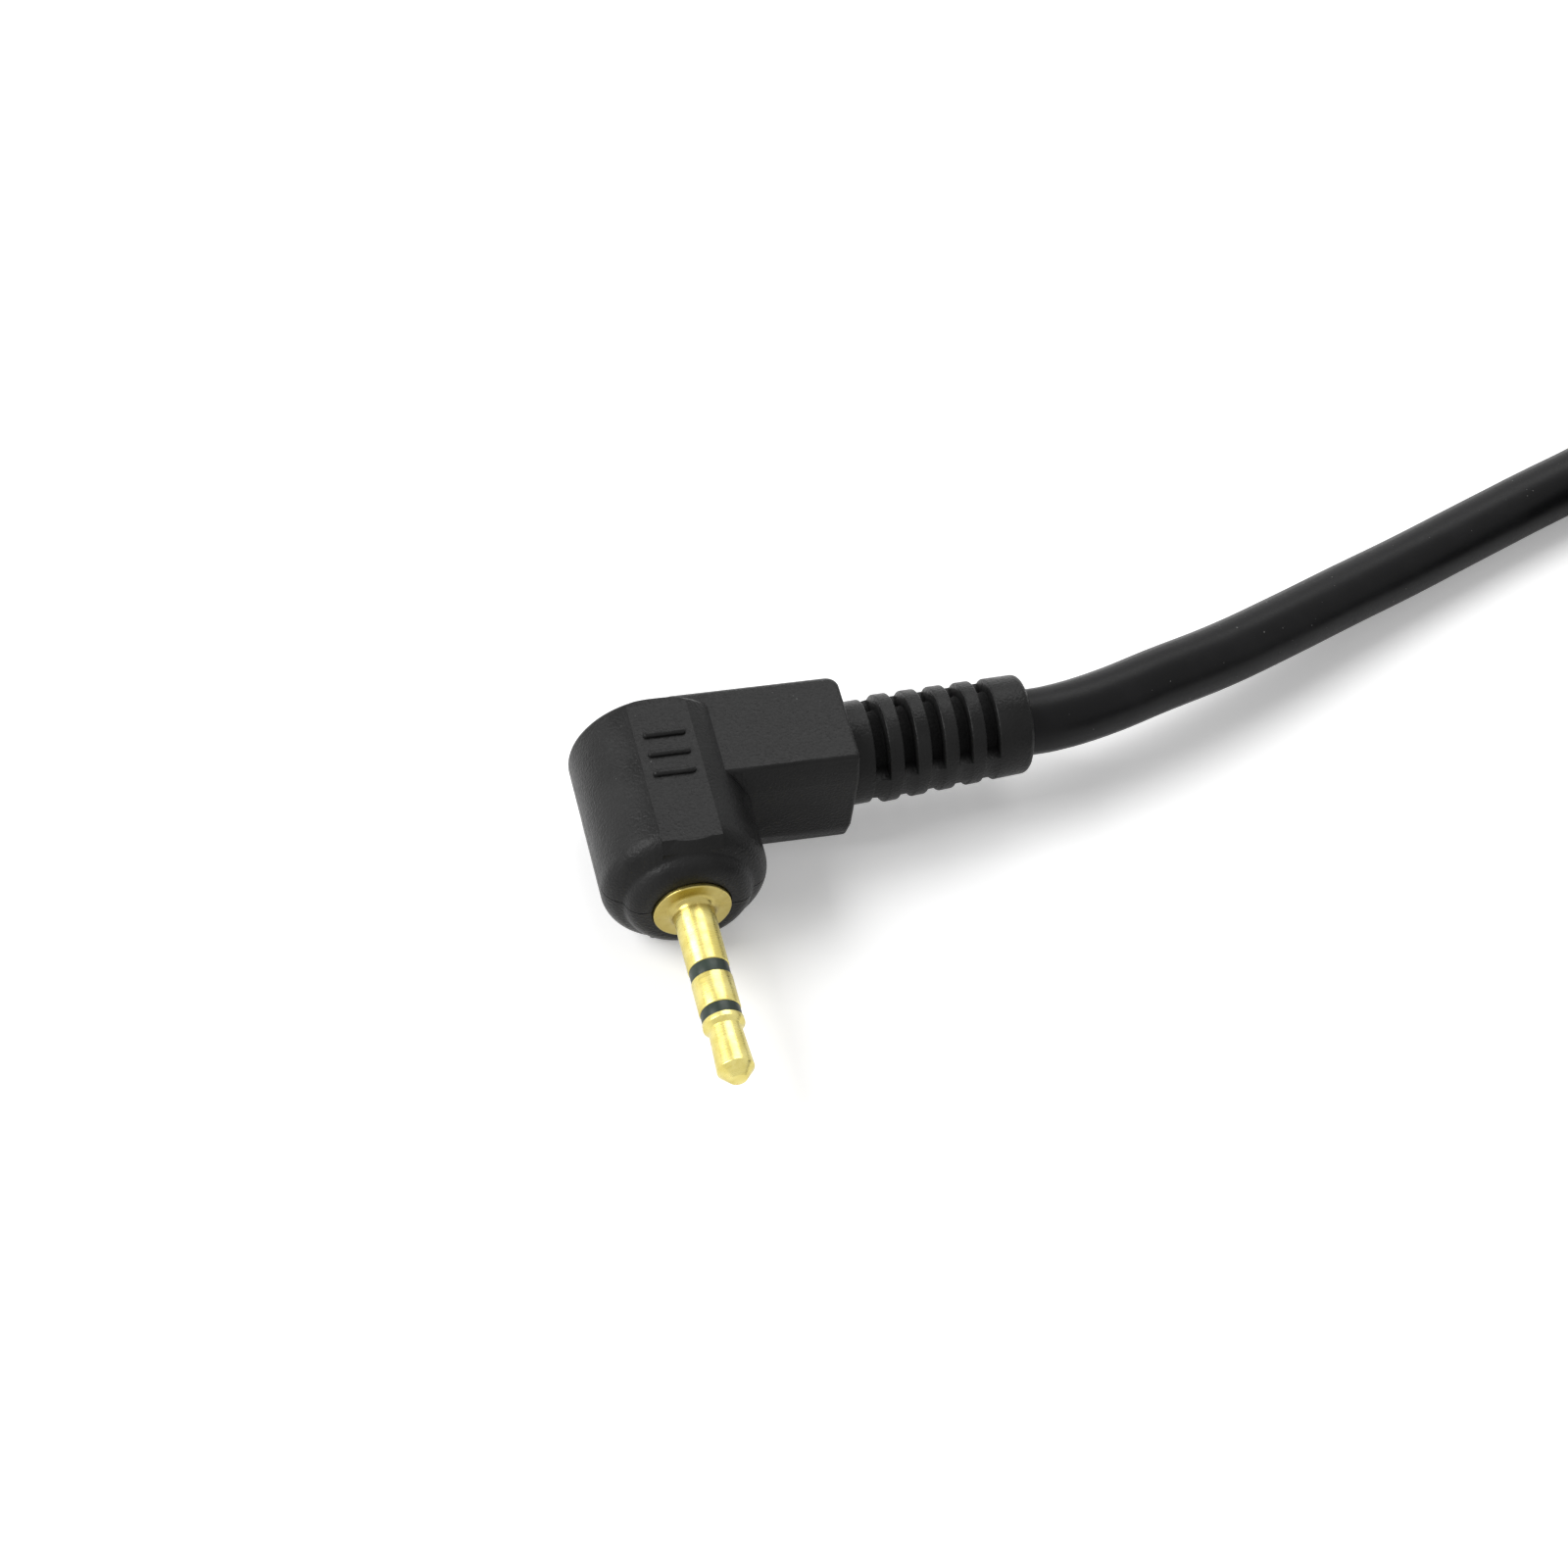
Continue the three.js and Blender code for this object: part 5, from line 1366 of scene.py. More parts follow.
@dataclass
class StrainRelief:
    """The plug's slotted sleeve: rings over a core, held together by a web on each side."""

    axis: float = PlugBody.relief_axis
    start: float = PlugBody.arm_end
    lean: float = SLEEVE.lean
    length: float = 11.7
    radius: float = 3.36
    taper: float = 0.026
    neck_radius: float = 3.16
    slot_count: int = 5
    slot_first: float = 1.4
    slot_pitch: float = 1.78
    slot_width: float = 0.86
    core_radius: float = 2.3
    web: float = 0.85
    web_sink: float = 0.02
    web_grip: float = 0.2
    ring_rounding: float = 0.12
    slot_rounding: float = 0.08
    collar_rounding: float = 1.0
    mouth_rounding: float = 0.15
    mouth_depth: float = 0.3
    root_radius: float = 2.6
    root_length: float = 6.0
    bore: float = 2.15

    def _radius(self, x: float) -> float:
        """Returns the sleeve's radius at a place along it."""
        return self.radius - self.taper * (x - self.start)

    def _slot(self, i: int) -> Spot:
        """Returns where a slot starts and ends."""
        x = self.start + self.slot_first + i * self.slot_pitch
        return x, x + self.slot_width

    def _profile(self) -> Outline:
        """Draws the sleeve: its neck, rings with a slot before each, and the round collar.

        Returns:
            The sleeve's profile.
        """
        end = self.start + self.length
        soft, root = self.ring_rounding, self.slot_rounding
        corners = [(self.bore, self.start, 0), (self.neck_radius, self.start, 0)]
        for i in range(self.slot_count):
            low, high = self._slot(i)
            corners += [
                (self._radius(low) if i else self.neck_radius, low, soft),
                (self.core_radius, low, root),
                (self.core_radius, high, root),
                (self._radius(high), high, soft),
            ]
        corners += [
            (self._radius(end), end, self.collar_rounding),
            (self.bore, end, self.mouth_rounding),
            (self.bore, end - self.mouth_depth, 0),
        ]
        return rounded(corners, steps=5)

    def _webs(self) -> Shape:
        """Makes the two webs, a hair under the rings, that bridge the slots on both sides.

        Returns:
            The webs.
        """
        low, high = self.axis - self.radius - PAST, self.axis + self.radius + PAST
        inner = (self.bore + self.core_radius) / 2
        neck = self.neck_radius - self.web_sink
        neck_end, step = self._slot(0)
        first = neck_end - self.web_grip
        last = self._slot(self.slot_count - 1)[1] + self.web_grip
        section = [
            (inner, first),
            (neck, first),
            (neck, neck_end),
            (self._radius(step) - self.web_sink, step),
            (self._radius(last) - self.web_sink, last),
            (inner, last),
        ]
        webs = Workpiece(spun(section, Axis.X, closed=True, middle=(0, self.axis, 0)))
        webs.keep(block((first - PAST, low, -self.web), (last + PAST, high, self.web)))
        return webs.taken()

    def build(self, origin: Vector) -> Piece:
        """Makes the strain relief.

        Args:
            origin: the plug's origin in metres.

        Returns:
            The strain relief.
        """
        middle = (0, self.axis, 0)
        sleeve = Workpiece(spun(self._profile(), Axis.X, closed=True, middle=middle))
        sleeve.join(self._webs())
        low, high = self.start - self.root_length, self.start
        root = [(self.bore, low), (self.root_radius, low), (self.root_radius, high), (self.bore, high)]
        sleeve.join(spun(root, Axis.X, closed=True, middle=middle))
        sleeve.bend(self.start, self.lean)
        return sleeve.finished(
            "plug_sleeve", "switch_body", SLEEVE, ["plug_strain_relief"], origin
        )


@dataclass
class JackPin:
    """The gold pin: a sleeve with its flange, a ring and a tip, with a dark band between each two.

    Profiles are (radius, distance along +Y from the flange's front, rounding) of each corner.
    """

    radius: float = 1.25
    flange_radius: float = 2.36
    flange_depth: float = 0.6
    neck_rise: float = 0.45
    band_radius: float = 1.2
    first_band: Spot = (4.3, 5.13)
    second_band: Spot = (7.32, 8.03)
    tip_collar: float = 8.37
    tip_slope: float = 0.25
    tip_neck: float = 0.99
    tip_bulge: float = 1.12
    tip_nose: float = 0.5
    shoulder: float = 11.39
    end: float = 12.12
    tail: float = 3.4
    tail_radius: float = 1.6
    sleeve_bore: float = 0.98
    ring_stem: float = 0.8
    ring_bore: float = 0.6
    tip_stem: float = 0.42
    stem_tails: Spot = (5.2, 7.2)
    insulator_tails: Spot = (4.2, 5.8)
    insulator_tubes: tuple[Spot, Spot] = ((0.95, 0.83), (0.57, 0.45))  # outer radius, inner radius
    pole_edge: float = 0.07
    flange_edge: float = 0.08
    nose_edge: float = 0.12
    collar_edges: Spot = (0.04, 0.05)  # front, back
    band_edge: float = 0.02

    def _sleeve(self) -> list[Corner]:
        """Draws the sleeve: its barrel, neck fillet, flange and the tube behind it.

        Returns:
            The sleeve's profile.
        """
        return [
            (self.sleeve_bore, -self.first_band[0], 0),
            (self.radius, -self.first_band[0], self.pole_edge),
            (self.radius, 0, self.neck_rise),
            (self.flange_radius, 0, self.flange_edge),
            (self.flange_radius, self.flange_depth, 0),
            (self.tail_radius, self.flange_depth, 0),
            (self.tail_radius, self.tail, 0),
            (self.sleeve_bore, self.tail, 0),
        ]

    def _ring(self) -> list[Corner]:
        """Draws the ring with its stem.

        Returns:
            The ring's profile.
        """
        return [
            (self.ring_bore, -self.second_band[0], 0),
            (self.radius, -self.second_band[0], self.pole_edge),
            (self.radius, -self.first_band[1], self.pole_edge),
            (self.ring_stem, -self.first_band[1], 0),
            (self.ring_stem, self.stem_tails[0], 0),
            (self.ring_bore, self.stem_tails[0], 0),
        ]

    def _tip(self) -> list[Corner]:
        """Draws the tip: its nose, bulge, waist and collar, with its stem.

        Returns:
            The tip's profile.
        """
        front, back = self.collar_edges
        return [
            (0, -self.end, 0),
            (self.tip_nose, -self.end, self.nose_edge),
            (self.tip_bulge, -self.shoulder, self.nose_edge),
            (self.tip_neck, -self.tip_collar - self.tip_slope, front),
            (self.radius, -self.tip_collar, front),
            (self.radius, -self.second_band[1], back),
            (self.tip_stem, -self.second_band[1], 0),
            (self.tip_stem, self.stem_tails[1], 0),
            (0, self.stem_tails[1], 0),
        ]

    def _insulator(self, band: Spot, tube: Spot, tail: float) -> list[Corner]:
        """Draws an insulator: the band that shows and the tube behind it.

        Args:
            band: where the band starts and ends in front of the flange.
            tube: the tube's outer and inner radius.
            tail: where the tube ends.

        Returns:
            The insulator's profile.
        """
        outer, inner = tube
        return [
            (inner, -band[1], 0),
            (self.band_radius, -band[1], self.band_edge),
            (self.band_radius, -band[0], self.band_edge),
            (outer, -band[0], 0),
            (outer, tail, 0),
            (inner, tail, 0),
        ]

    def build(self, origin: Vector) -> list[Piece]:
        """Makes the pin's five turned pieces.

        Args:
            origin: the plug's origin in metres.

        Returns:
            The pieces.
        """
        both_bands = (self.first_band, self.second_band)
        parts = zip(both_bands, self.insulator_tubes, self.insulator_tails)
        rear_band, front_band = (self._insulator(*part) for part in parts)
        turned = [
            ("pin_sleeve", self._sleeve(), True, "gold_plate", GOLD, "sleeve_contact"),
            ("pin_ring", self._ring(), True, "gold_plate", GOLD, "ring_contact"),
            ("pin_tip", self._tip(), False, "gold_plate", GOLD, "tip_contact"),
            ("pin_rear_band", rear_band, True, "band_plastic", BAND, "sleeve_insulator"),
            ("pin_front_band", front_band, True, "band_plastic", BAND, "ring_insulator"),
        ]
        made = []
        for name, profile, closed, slot, finish, node in turned:
            pole = Workpiece(spun(rounded(profile, closed, steps=5), Axis.Y, closed=closed))
            made.append(pole.finished(name, "switch_body", finish, [node], origin))
        return made


# --------------------------------------------------------------------------------------- hand switch


@dataclass
class SwitchShells:
    """The hand switch's two shells, with the window of its button and all that is moulded inside them.

    Places are in the hand switch's own frame: X towards the cord, Z up from the flat bottom. A block is
    given as its lowest and its highest corner.
    """

    front: float = -44
    rear: float = 44
    height: float = 17
    front_radius: float = 12
    rear_radius: float = 9.5
    rear_flat: float = 9
    wall: float = 1.6
    rear_wall: float = 3.2
    rounding: float = 2.4
    parting: float = 8
    seam_chamfer: float = 0.18
    tongue_width: float = 0.7
    tongue_height: float = 1.0
    fit: float = 0.1
    window_middle: float = -18
    window_size: Spot = (24.7, 11.7)  # length, width
    window_corner: float = 3.55
    window_chamfer: float = 0.3
    window_flare: float = 0.2
    hook_pocket: tuple[Point, Point] = ((-32.35, -3.85, 14.4), (-26.8, 3.85, 16.1))
    rails: tuple[float, float, float] = (-33.85, -0.15, 12.8)  # start, end, underside
    rail_sides: Spot = (8.0, 9.0)  # inner face, outer face
    press: tuple[Point, Point] = ((10, -5, 11.6), (16, 5, 16))
    root: float = 1.0
    rail_edge: float = 0.15
    fence: tuple[Point, Point] = ((7.1, -5.9, 1), (18.9, 5.9, 3.1))
    fence_room: tuple[Point, Point] = ((7.9, -5.1, 1.6), (18.1, 5.1, 4))
    cord_seat: tuple[Point, Point] = ((32, -6.1, 1), (34, 6.1, 8))
    cord_hole: tuple[float, Spot] = (2.08, (30, 36))  # radius, ends
    pillar_radius: float = 2.3
    pillar_steps: int = 48
    pillar_top: float = 8.6
    clamp_top: float = 11.4
    screws: tuple[Spot, ...] = ((-39.2, 0), (33, 6.1), (33, -6.1))
    screw_hole: float = 0.96
    screw_top: float = 13.46
    counterbore: float = 1.96
    counterbore_depths: Spot = (0.7, 1.66)  # straight part, foot of its cone
    boot_hole: float = 3.4
    grip_first: float = -4
    grip_pitch: float = 2.4
    grip_count: int = 7
    grip_radius: float = 0.9
    grip_rounding: float = 0.7
    grip_depth: float = 0.32
    grip_margin: float = 1.2
    edge_steps: int = 8
    arc_steps: tuple[int, int] = (14, 60)  # rear corners, front

    def _rear_centre(self) -> float:
        """Returns where the rear arc's centre lies."""
        return self.rear - math.sqrt(self.rear_radius**2 - (self.rear_flat / 2) ** 2)

    def _slope(self) -> float:
        """Returns the angle at which the sides run together."""
        apart = self._rear_centre() - self.front - self.front_radius
        return math.asin((self.front_radius - self.rear_radius) / apart)

    def plan(self, inset: float, rear: float | None = None) -> Outline:
        """Draws the shells in plan.

        Args:
            inset: how far the outline is taken inwards.
            rear: where it is cut off square, or None for its own rear end.

        Returns:
            The outline.
        """
        limit = self.rear - inset if rear is None else rear
        back = self.rear_radius - inset
        share = min(1.0, (limit - self._rear_centre()) / back)
        side, cut_off = 90 - math.degrees(self._slope()), math.degrees(math.acos(share))
        centre = (self._rear_centre(), 0.0)
        nose = (self.front + self.front_radius, 0.0)
        few, many = self.arc_steps
        corners = [
            *arc(centre, back, (-side, -cut_off), few),
            *arc(centre, back, (cut_off, side), few),
            *arc(nose, self.front_radius - inset, (side, 360 - side), many),
        ]
        return [(x, y) for x, y, _ in corners]

    def half_width(self, x: float) -> float:
        """Returns how far the straight sides stand from the middle at a place."""
        slope = self._slope()
        nose = self.front + self.front_radius
        return (self.front_radius - (x - nose) * math.sin(slope)) / math.cos(slope)

    def _prism(self, inset: float, low: float, high: float) -> Shape:
        """Returns the plan extruded between two heights."""
        return extruded(self.plan(inset), Axis.Z, low, high)

    def _hull(self, rows: Sequence[Spot], rear: float | None = None) -> Shape:
        """Returns a body through the plan at rows of (inset, height)."""
        return stacked(lambda inset: self.plan(inset, rear), rows)

    def _rounded_rows(self, inset: float, edge: float, radius: float, rising: bool) -> list[Spot]:
        """Draws a rounded edge all round the hull.

        Args:
            inset: how far the sides lie inwards.
            edge: the height of the face past the edge.
            radius: the edge's radius.
            rising: True for the bottom edge, and False for the top one.

        Returns:
            Rows of (inset, height), from the bottom up.
        """
        way = 1 if rising else -1
        rows = [
            (inset + radius * (1 - math.sin(turn)), edge + way * radius * (1 - math.cos(turn)))
            for turn in quarter(self.edge_steps)
        ]
        return rows[::way]

    def _grips(self) -> Shape:
        """Makes the tools of the finger grooves on both sides.

        Returns:
            The tools.
        """
        margin = self.rounding + self.grip_margin
        radius, soft = self.grip_radius, self.grip_rounding
        low, high = margin, self.height - margin
        outline = rounded([(0, low, 0), (radius, low, soft), (radius, high, soft), (0, high, 0)])
        tools = []
        for i in range(self.grip_count):
            x = self.grip_first + i * self.grip_pitch
            for side in (-1, 1):
                y = side * (self.half_width(x) + radius - self.grip_depth)
                tools.append(spun(outline, Axis.Z, steps=32, middle=(x, y, 0)))
        return gathered(*tools)

    def _screw_holes(self) -> Shape:
        """Makes the tools of the three countersunk holes.

        Returns:
            The tools.
        """
        straight, cone = self.counterbore_depths
        sink = [
            (0, -PAST),
            (self.counterbore, -PAST),
            (self.counterbore, straight),
            (self.screw_hole, cone),
            (self.screw_hole, self.screw_top),
            (0, self.screw_top),
        ]
        tools = (spun(sink, Axis.Z, self.pillar_steps, middle=(x, y, 0)) for x, y in self.screws)
        return gathered(*tools)

    def _pillars(self, lows: Sequence[float], highs: Sequence[float]) -> list[Shape]:
        """Makes the pillars round the screws.

        Args:
            lows: where each starts.
            highs: where each ends.

        Returns:
            The pillars.
        """
        return [
            bar(Axis.Z, self.pillar_radius, ends, (*place, 0), self.pillar_steps)
            for place, ends in zip(self.screws, zip(lows, highs))
        ]

    def _boot_hole(self) -> Shape:
        """Returns the tool of the round hole for the boot's neck."""
        ends = (self.rear - self.rear_wall - PAST, self.rear + PAST)
        return bar(Axis.X, self.boot_hole, ends, (0, 0, self.parting))

    def _window(self) -> tuple[Shape, Shape]:
        """Makes the window's tool and that of the chamfer round it.

        Returns:
            The two tools.
        """
        length, width = self.window_size
        top = self.height

        def outline(grow: float) -> Outline:
            """Returns the window's outline, grown all round."""
            middle = (self.window_middle, 0)
            corner = self.window_corner + grow
            return rounded_rectangle(middle, length + 2 * grow, width + 2 * grow, corner)

        chamfer, over = self.window_chamfer, self.window_flare
        flare = stacked(outline, [(0.0, top - chamfer), (chamfer + over, top + over)])
        return extruded(outline(0), Axis.Z, top - self.wall - PAST, top + PAST), flare

    def upper(self) -> Piece:
        """Makes the upper shell.

        Returns:
            The shell.
        """
        ceiling = self.height - self.wall
        seam = [(self.seam_chamfer, self.parting), (0, self.parting + self.seam_chamfer)]
        shell = Workpiece(self._hull([*seam, *self._rounded_rows(0, self.height, self.rounding, False)]))
        inside = self.rear - self.rear_wall
        cavity = [(self.wall, self.parting - PAST)]
        cavity += self._rounded_rows(self.wall, ceiling, self.rounding - self.wall, False)
        shell.cut(
            self._hull(cavity, inside),
            self._prism(
                self.wall - self.tongue_width - self.fit,
                self.parting - PAST,
                self.parting + self.tongue_height + self.fit,
            ),
        )
        first, last, low = self.rails
        near, far = self.rail_sides
        top = self.height - self.root
        inner = [
            block((first, near, low), (last, far, top), self.rail_edge, segments=2),
            block((first, -far, low), (last, -near, top), self.rail_edge, segments=2),
            block(*self.press),
            *self._pillars((self.pillar_top, self.clamp_top, self.clamp_top), (top, top, top)),
        ]
        shell.join(gathered(*inner))
        shell.cut(*self._window(), block(*self.hook_pocket), self._boot_hole(), self._screw_holes())
        shell.cut(self._grips())
        return shell.finished("case_top", "switch_body", SHELL, ["upper_shell"])

    def lower(self) -> Piece:
        """Makes the lower shell.

        Returns:
            The shell.
        """
        seam = [(0, self.parting - self.seam_chamfer), (self.seam_chamfer, self.parting)]
        shell = Workpiece(self._hull([*self._rounded_rows(0, 0, self.rounding, True), *seam]))
        inside = self.rear - self.rear_wall
        cavity = self._rounded_rows(self.wall, self.wall, self.rounding - self.wall, True)
        shell.cut(self._hull([*cavity, (self.wall, self.parting + PAST)], inside))
        low, high = self.parting - PAST, self.parting + self.tongue_height
        tongue = Workpiece(self._prism(self.wall - self.tongue_width, low, high))
        tongue.cut(self._prism(self.wall, low - PAST, high + PAST))
        shell.join(tongue.taken())
        fence = Workpiece(block(*self.fence))
        fence.cut(block(*self.fence_room))
        shell.join(fence.taken())
        pillars = self._pillars((self.root,) * 3, (self.pillar_top,) * 3)
        shell.join(block(*self.cord_seat), gathered(*pillars))
        shell.cut(
            bar(Axis.X, *self.cord_hole, (0, 0, self.parting), self.pillar_steps),
            self._boot_hole(),
            self._screw_holes(),
            self._grips(),
        )
        return shell.finished("case_bottom", "switch_body", SHELL, ["lower_shell"])


@dataclass
class CaseScrews:
    """Three countersunk screws with a cross recess."""

    names: tuple[str, ...] = ("case_screw_front", "case_screw_left", "case_screw_right")
    places: tuple[Spot, ...] = SwitchShells.screws
    head_radius: float = 1.9
    shank_radius: float = 0.9
    sink: float = 0.4
    head_rim: float = 0.3
    head_height: float = 1.2
    length: float = 13
    point: float = 0.6
    edges: Spot = (0.12, 0.1)  # head, shank
    recess: Point = (2.0, 0.45, 0.6)  # length, width, depth
    recess_edge: float = 0.06

    def build(self) -> None:
        """Makes the three screws."""
        top = self.sink + self.head_height
        end = self.sink + self.length
        outline = rounded(
            [
                (0, self.sink, 0),
                (self.head_radius, self.sink, self.edges[0]),
                (self.head_radius, self.sink + self.head_rim, 0),
                (self.shank_radius, top, self.edges[1]),
                (self.shank_radius, end - self.point, 0),
                (0, end, 0),
            ],
            steps=3,
        )
        length, width, depth = (part / 2 for part in self.recess)
        for name, (x, y) in zip(self.names, self.places):
            screw = Workpiece(spun(outline, Axis.Z, steps=64, middle=(x, y, 0)))
            for u, v in ((length, width), (width, length)):
                slot = ((x - u, y - v, 0), (x + u, y + v, self.sink + 2 * depth))
                screw.cut(block(*slot, self.recess_edge, segments=2))
            screw.finished(name + "_turned", "switch_body", DARK_STEEL, [name], sharp=28)


@dataclass
class ReleaseButton:
    """The button: a rounded cap with cross ribs, the flange under it, its foot and its hook."""

    middle: float = -16
    size: Spot = (20, 11)
    corner: float = 3.2
    bottom: float = 12.85
    top: float = 18.8
    rounding: float = 0.6
    flange_width: float = 1.2
    flange_top: float = 14.05
    rib_count: int = 5
    rib_pitch: float = 1.8
    rib_radius: float = 0.45
    rib_length: float = 7
    rib_rounding: float = 0.4
    edge_steps: int = 6
    foot: tuple[Point, Point] = ((-12.5, -1.6, 9.375), (-10.5, 1.6, 13.85))
    foot_edge: float = 0.1
    hook: tuple[Point, Point] = ((-28, -3.5, 17.15), (-25.4, 3.5, 17.95))
    hook_edge: float = 0.15

    def build(self) -> Piece:
        """Makes the button.

        Returns:
            The button.
        """
        length, width = self.size

        def outline(grow: float) -> Outline:
            """Returns the cap's outline, grown all round."""
            corner = self.corner + min(grow, 0)
            return rounded_rectangle((self.middle, 0), length + 2 * grow, width + 2 * grow, corner)

        soft = self.rounding
        edge = [
            (-soft * (1 - math.cos(turn)), self.top - soft * (1 - math.sin(turn)))
            for turn in quarter(self.edge_steps)
        ]
        cap = Workpiece(stacked(outline, [(0.0, self.bottom), *edge]))
        cap.join(
            extruded(outline(self.flange_width), Axis.Z, self.bottom, self.flange_top),
            block(*self.foot, self.foot_edge, segments=2),
            block(*self.hook, self.hook_edge, segments=2),
        )
        half, radius, soft = self.rib_length / 2, self.rib_radius, self.rib_rounding
        rib = rounded([(0, -half, 0), (radius, -half, soft), (radius, half, soft), (0, half, 0)])
        ribs = []
        for i in range(self.rib_count):
            x = self.middle + (i - (self.rib_count - 1) / 2) * self.rib_pitch
            ribs.append(spun(rib, Axis.Y, steps=40, middle=(x, 0, self.top)))
        cap.join(gathered(*ribs))
        return cap.finished(
            "button_cap", "release_button", BUTTON, ["release_button"], sharp=36
        )


@dataclass
class ReturnSpring:
    """The wound spring under the button, made at its full length; the button shortens it by its travel as
    it goes down.
    """

    middle: float = -22
    radius: float = 2.05
    wire: float = 0.5
    turns: float = 5.5
    seat: float = 5.2
    top: float = ReleaseButton.bottom
    fit: float = 0.03
    travel: float = 2.2
    sides: int = 12
    steps_a_turn: int = 32

    def build(self) -> Piece:
        """Makes the spring and puts it on the lock carriage.

        Returns:
            The spring.
        """
        low = self.seat + self.wire / 2 + self.fit
        high = self.top - self.wire / 2 - self.fit
        steps = round(self.turns * self.steps_a_turn)
        start = Matrix.Translation((self.middle + self.radius, 0, low))
        start @= Matrix.Rotation(math.pi / 2, 4, "X")
        coil = bmesh.new()
        bmesh.ops.create_circle(coil, segments=self.sides, radius=self.wire / 2, matrix=start)
        bmesh.ops.spin(
            coil,
            geom=list(coil.verts) + list(coil.edges),
            cent=(self.middle, 0, 0),
            axis=Axis.Z.value,
            dvec=(0, 0, (high - low) / steps),
            angle=FULL_TURN * self.turns,
            steps=steps,
            use_merge=False,
            use_duplicate=False,
        )
        bmesh.ops.holes_fill(coil, edges=open_edges(coil), sides=0)
        bmesh.ops.recalc_face_normals(coil, faces=coil.faces)
        spring = Workpiece(coil).finished(
            "wound_spring", "lock_carriage", SPRING_STEEL, ["return_spring"]
        )
        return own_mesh(spring)


@dataclass
class SwitchBoot:
    """The rubber boot: a flange inside the shells, a neck through them and a ringed taper outside."""

    start: float = SwitchShells.rear
    length: float = 16
    height: float = SwitchShells.parting
    bore: float = StrainRelief.bore
    collar_length: float = 2.2
    collar_radius: float = 4.2
    tip_radius: float = 2.9
    neck_radius: float = 3.3
    flange_radius: float = 4.6
    flange_thickness: float = 1.6
    flange_rounding: float = 0.3
    wall: float = SwitchShells.rear_wall
    grooves: int = 5
    groove_width: float = 0.9
    groove_depth: float = 0.7
    groove_edges: Spot = (0.22, 0.25)  # rim, floor
    collar_rounding: float = 0.35
    tip_roundings: Spot = (0.55, 0.12)  # outside, mouth
    tip_length: float = 2

    def build(self) -> Piece:
        """Makes the boot.

        Returns:
            The boot.
        """
        end = self.start + self.length
        inner = self.start - self.wall
        first = self.start + self.collar_length
        fall = (self.collar_radius - self.tip_radius) / (end - first)
        corners = [
            (self.bore, inner - self.flange_thickness, 0),
            (self.flange_radius, inner - self.flange_thickness, self.flange_rounding),
            (self.flange_radius, inner, 0),
            (self.neck_radius, inner, 0),
            (self.neck_radius, self.start, 0),
            (self.collar_radius, self.start, self.collar_rounding),
        ]
        pitch = (self.length - self.collar_length - self.tip_length) / self.grooves
        rim, floor = self.groove_edges
        for i in range(self.grooves):
            low = first + i * pitch
            high = low + self.groove_width
            before = self.collar_radius - fall * (low - first)
            after = self.collar_radius - fall * (high - first)
            corners += [
                (before, low, rim),
                (before - self.groove_depth, low, floor),
                (before - self.groove_depth, high, floor),
                (after, high, rim),
            ]
        outer, mouth = self.tip_roundings
        corners += [(self.tip_radius, end, outer), (self.bore, end, mouth)]
        outline = rounded(corners, closed=True, steps=5)
        shape = spun(outline, Axis.X, closed=True, middle=(0, 0, self.height))
        return Workpiece(shape).finished(
            "boot_rubber", "switch_body", RUBBER, ["switch_boot"]
        )


@dataclass
class CoilStrap:
    """The strap round the coil, woven, with its end lapped over outside."""

    middle: Spot = Cord.coil_middle
    angle: float = Cord.tie_angle
    width: float = 5
    thickness: float = 0.6
    edge: float = 0.12
    fit: float = 0.35
    cord: float = Cord.diameter
    spacing: float = Cord.coil_spacing
    passes: Spot = (18.93, 24.07)  # the cord's inner and outer pass
    lap_rise: float = 0.35
    lap_inset: float = 0.25
    lap_start: float = 2.6

    def _band(self, grow: float, width: float, edge: float) -> Shape:
        """Makes the loop's outside as a solid.

        Args:
            grow: how far it lies outside the loop's room.
            width: how wide it is.
            edge: the rounding of its edges, or 0 for none.

        Returns:
            The solid.
        """
        inside = self.passes[0] - self.cord / 2 - self.fit
        outside = self.passes[1] + self.cord / 2 + self.fit
        height = self.cord + self.spacing + 2 * self.fit
        corner = self.cord / 2 + grow
        middle = ((inside + outside) / 2, self.thickness + height / 2)
        outline = rounded_rectangle(middle, outside - inside + 2 * grow, height + 2 * grow, corner)
        solid = extruded(outline, Axis.Y, -width / 2, width / 2)
        if edge:
            ends = edges_at(solid, Axis.Y, -width / 2) + edges_at(solid, Axis.Y, width / 2)
            soften(solid, ends, edge, segments=2)
        return solid

    def build(self) -> Piece:
        """Makes the strap round the coil.

        Returns:
            The strap.
        """
        strap = Workpiece(self._band(self.thickness, self.width, self.edge))
        reach = self.passes[1] + self.cord
        lap_width = self.width - 2 * self.lap_inset
        lap = Workpiece(self._band(self.thickness + self.lap_rise, lap_width, self.edge))
        lap.keep(block((self.passes[1] - PAST, -self.width, self.lap_start), (reach, self.width, reach)))
        strap.join(lap.taken())
        strap.cut(self._band(0, self.width + 2 * PAST, 0))
        turn = Matrix.Translation((*self.middle, 0)) @ Matrix.Rotation(math.radians(self.angle), 4, "Z")
        strap.holder.data.transform(turn)
        return strap.finished("coil_strap", "switch_body", STRAP, ["coil_tie"])


# -------------------------------------------------------------------------------------------- studio


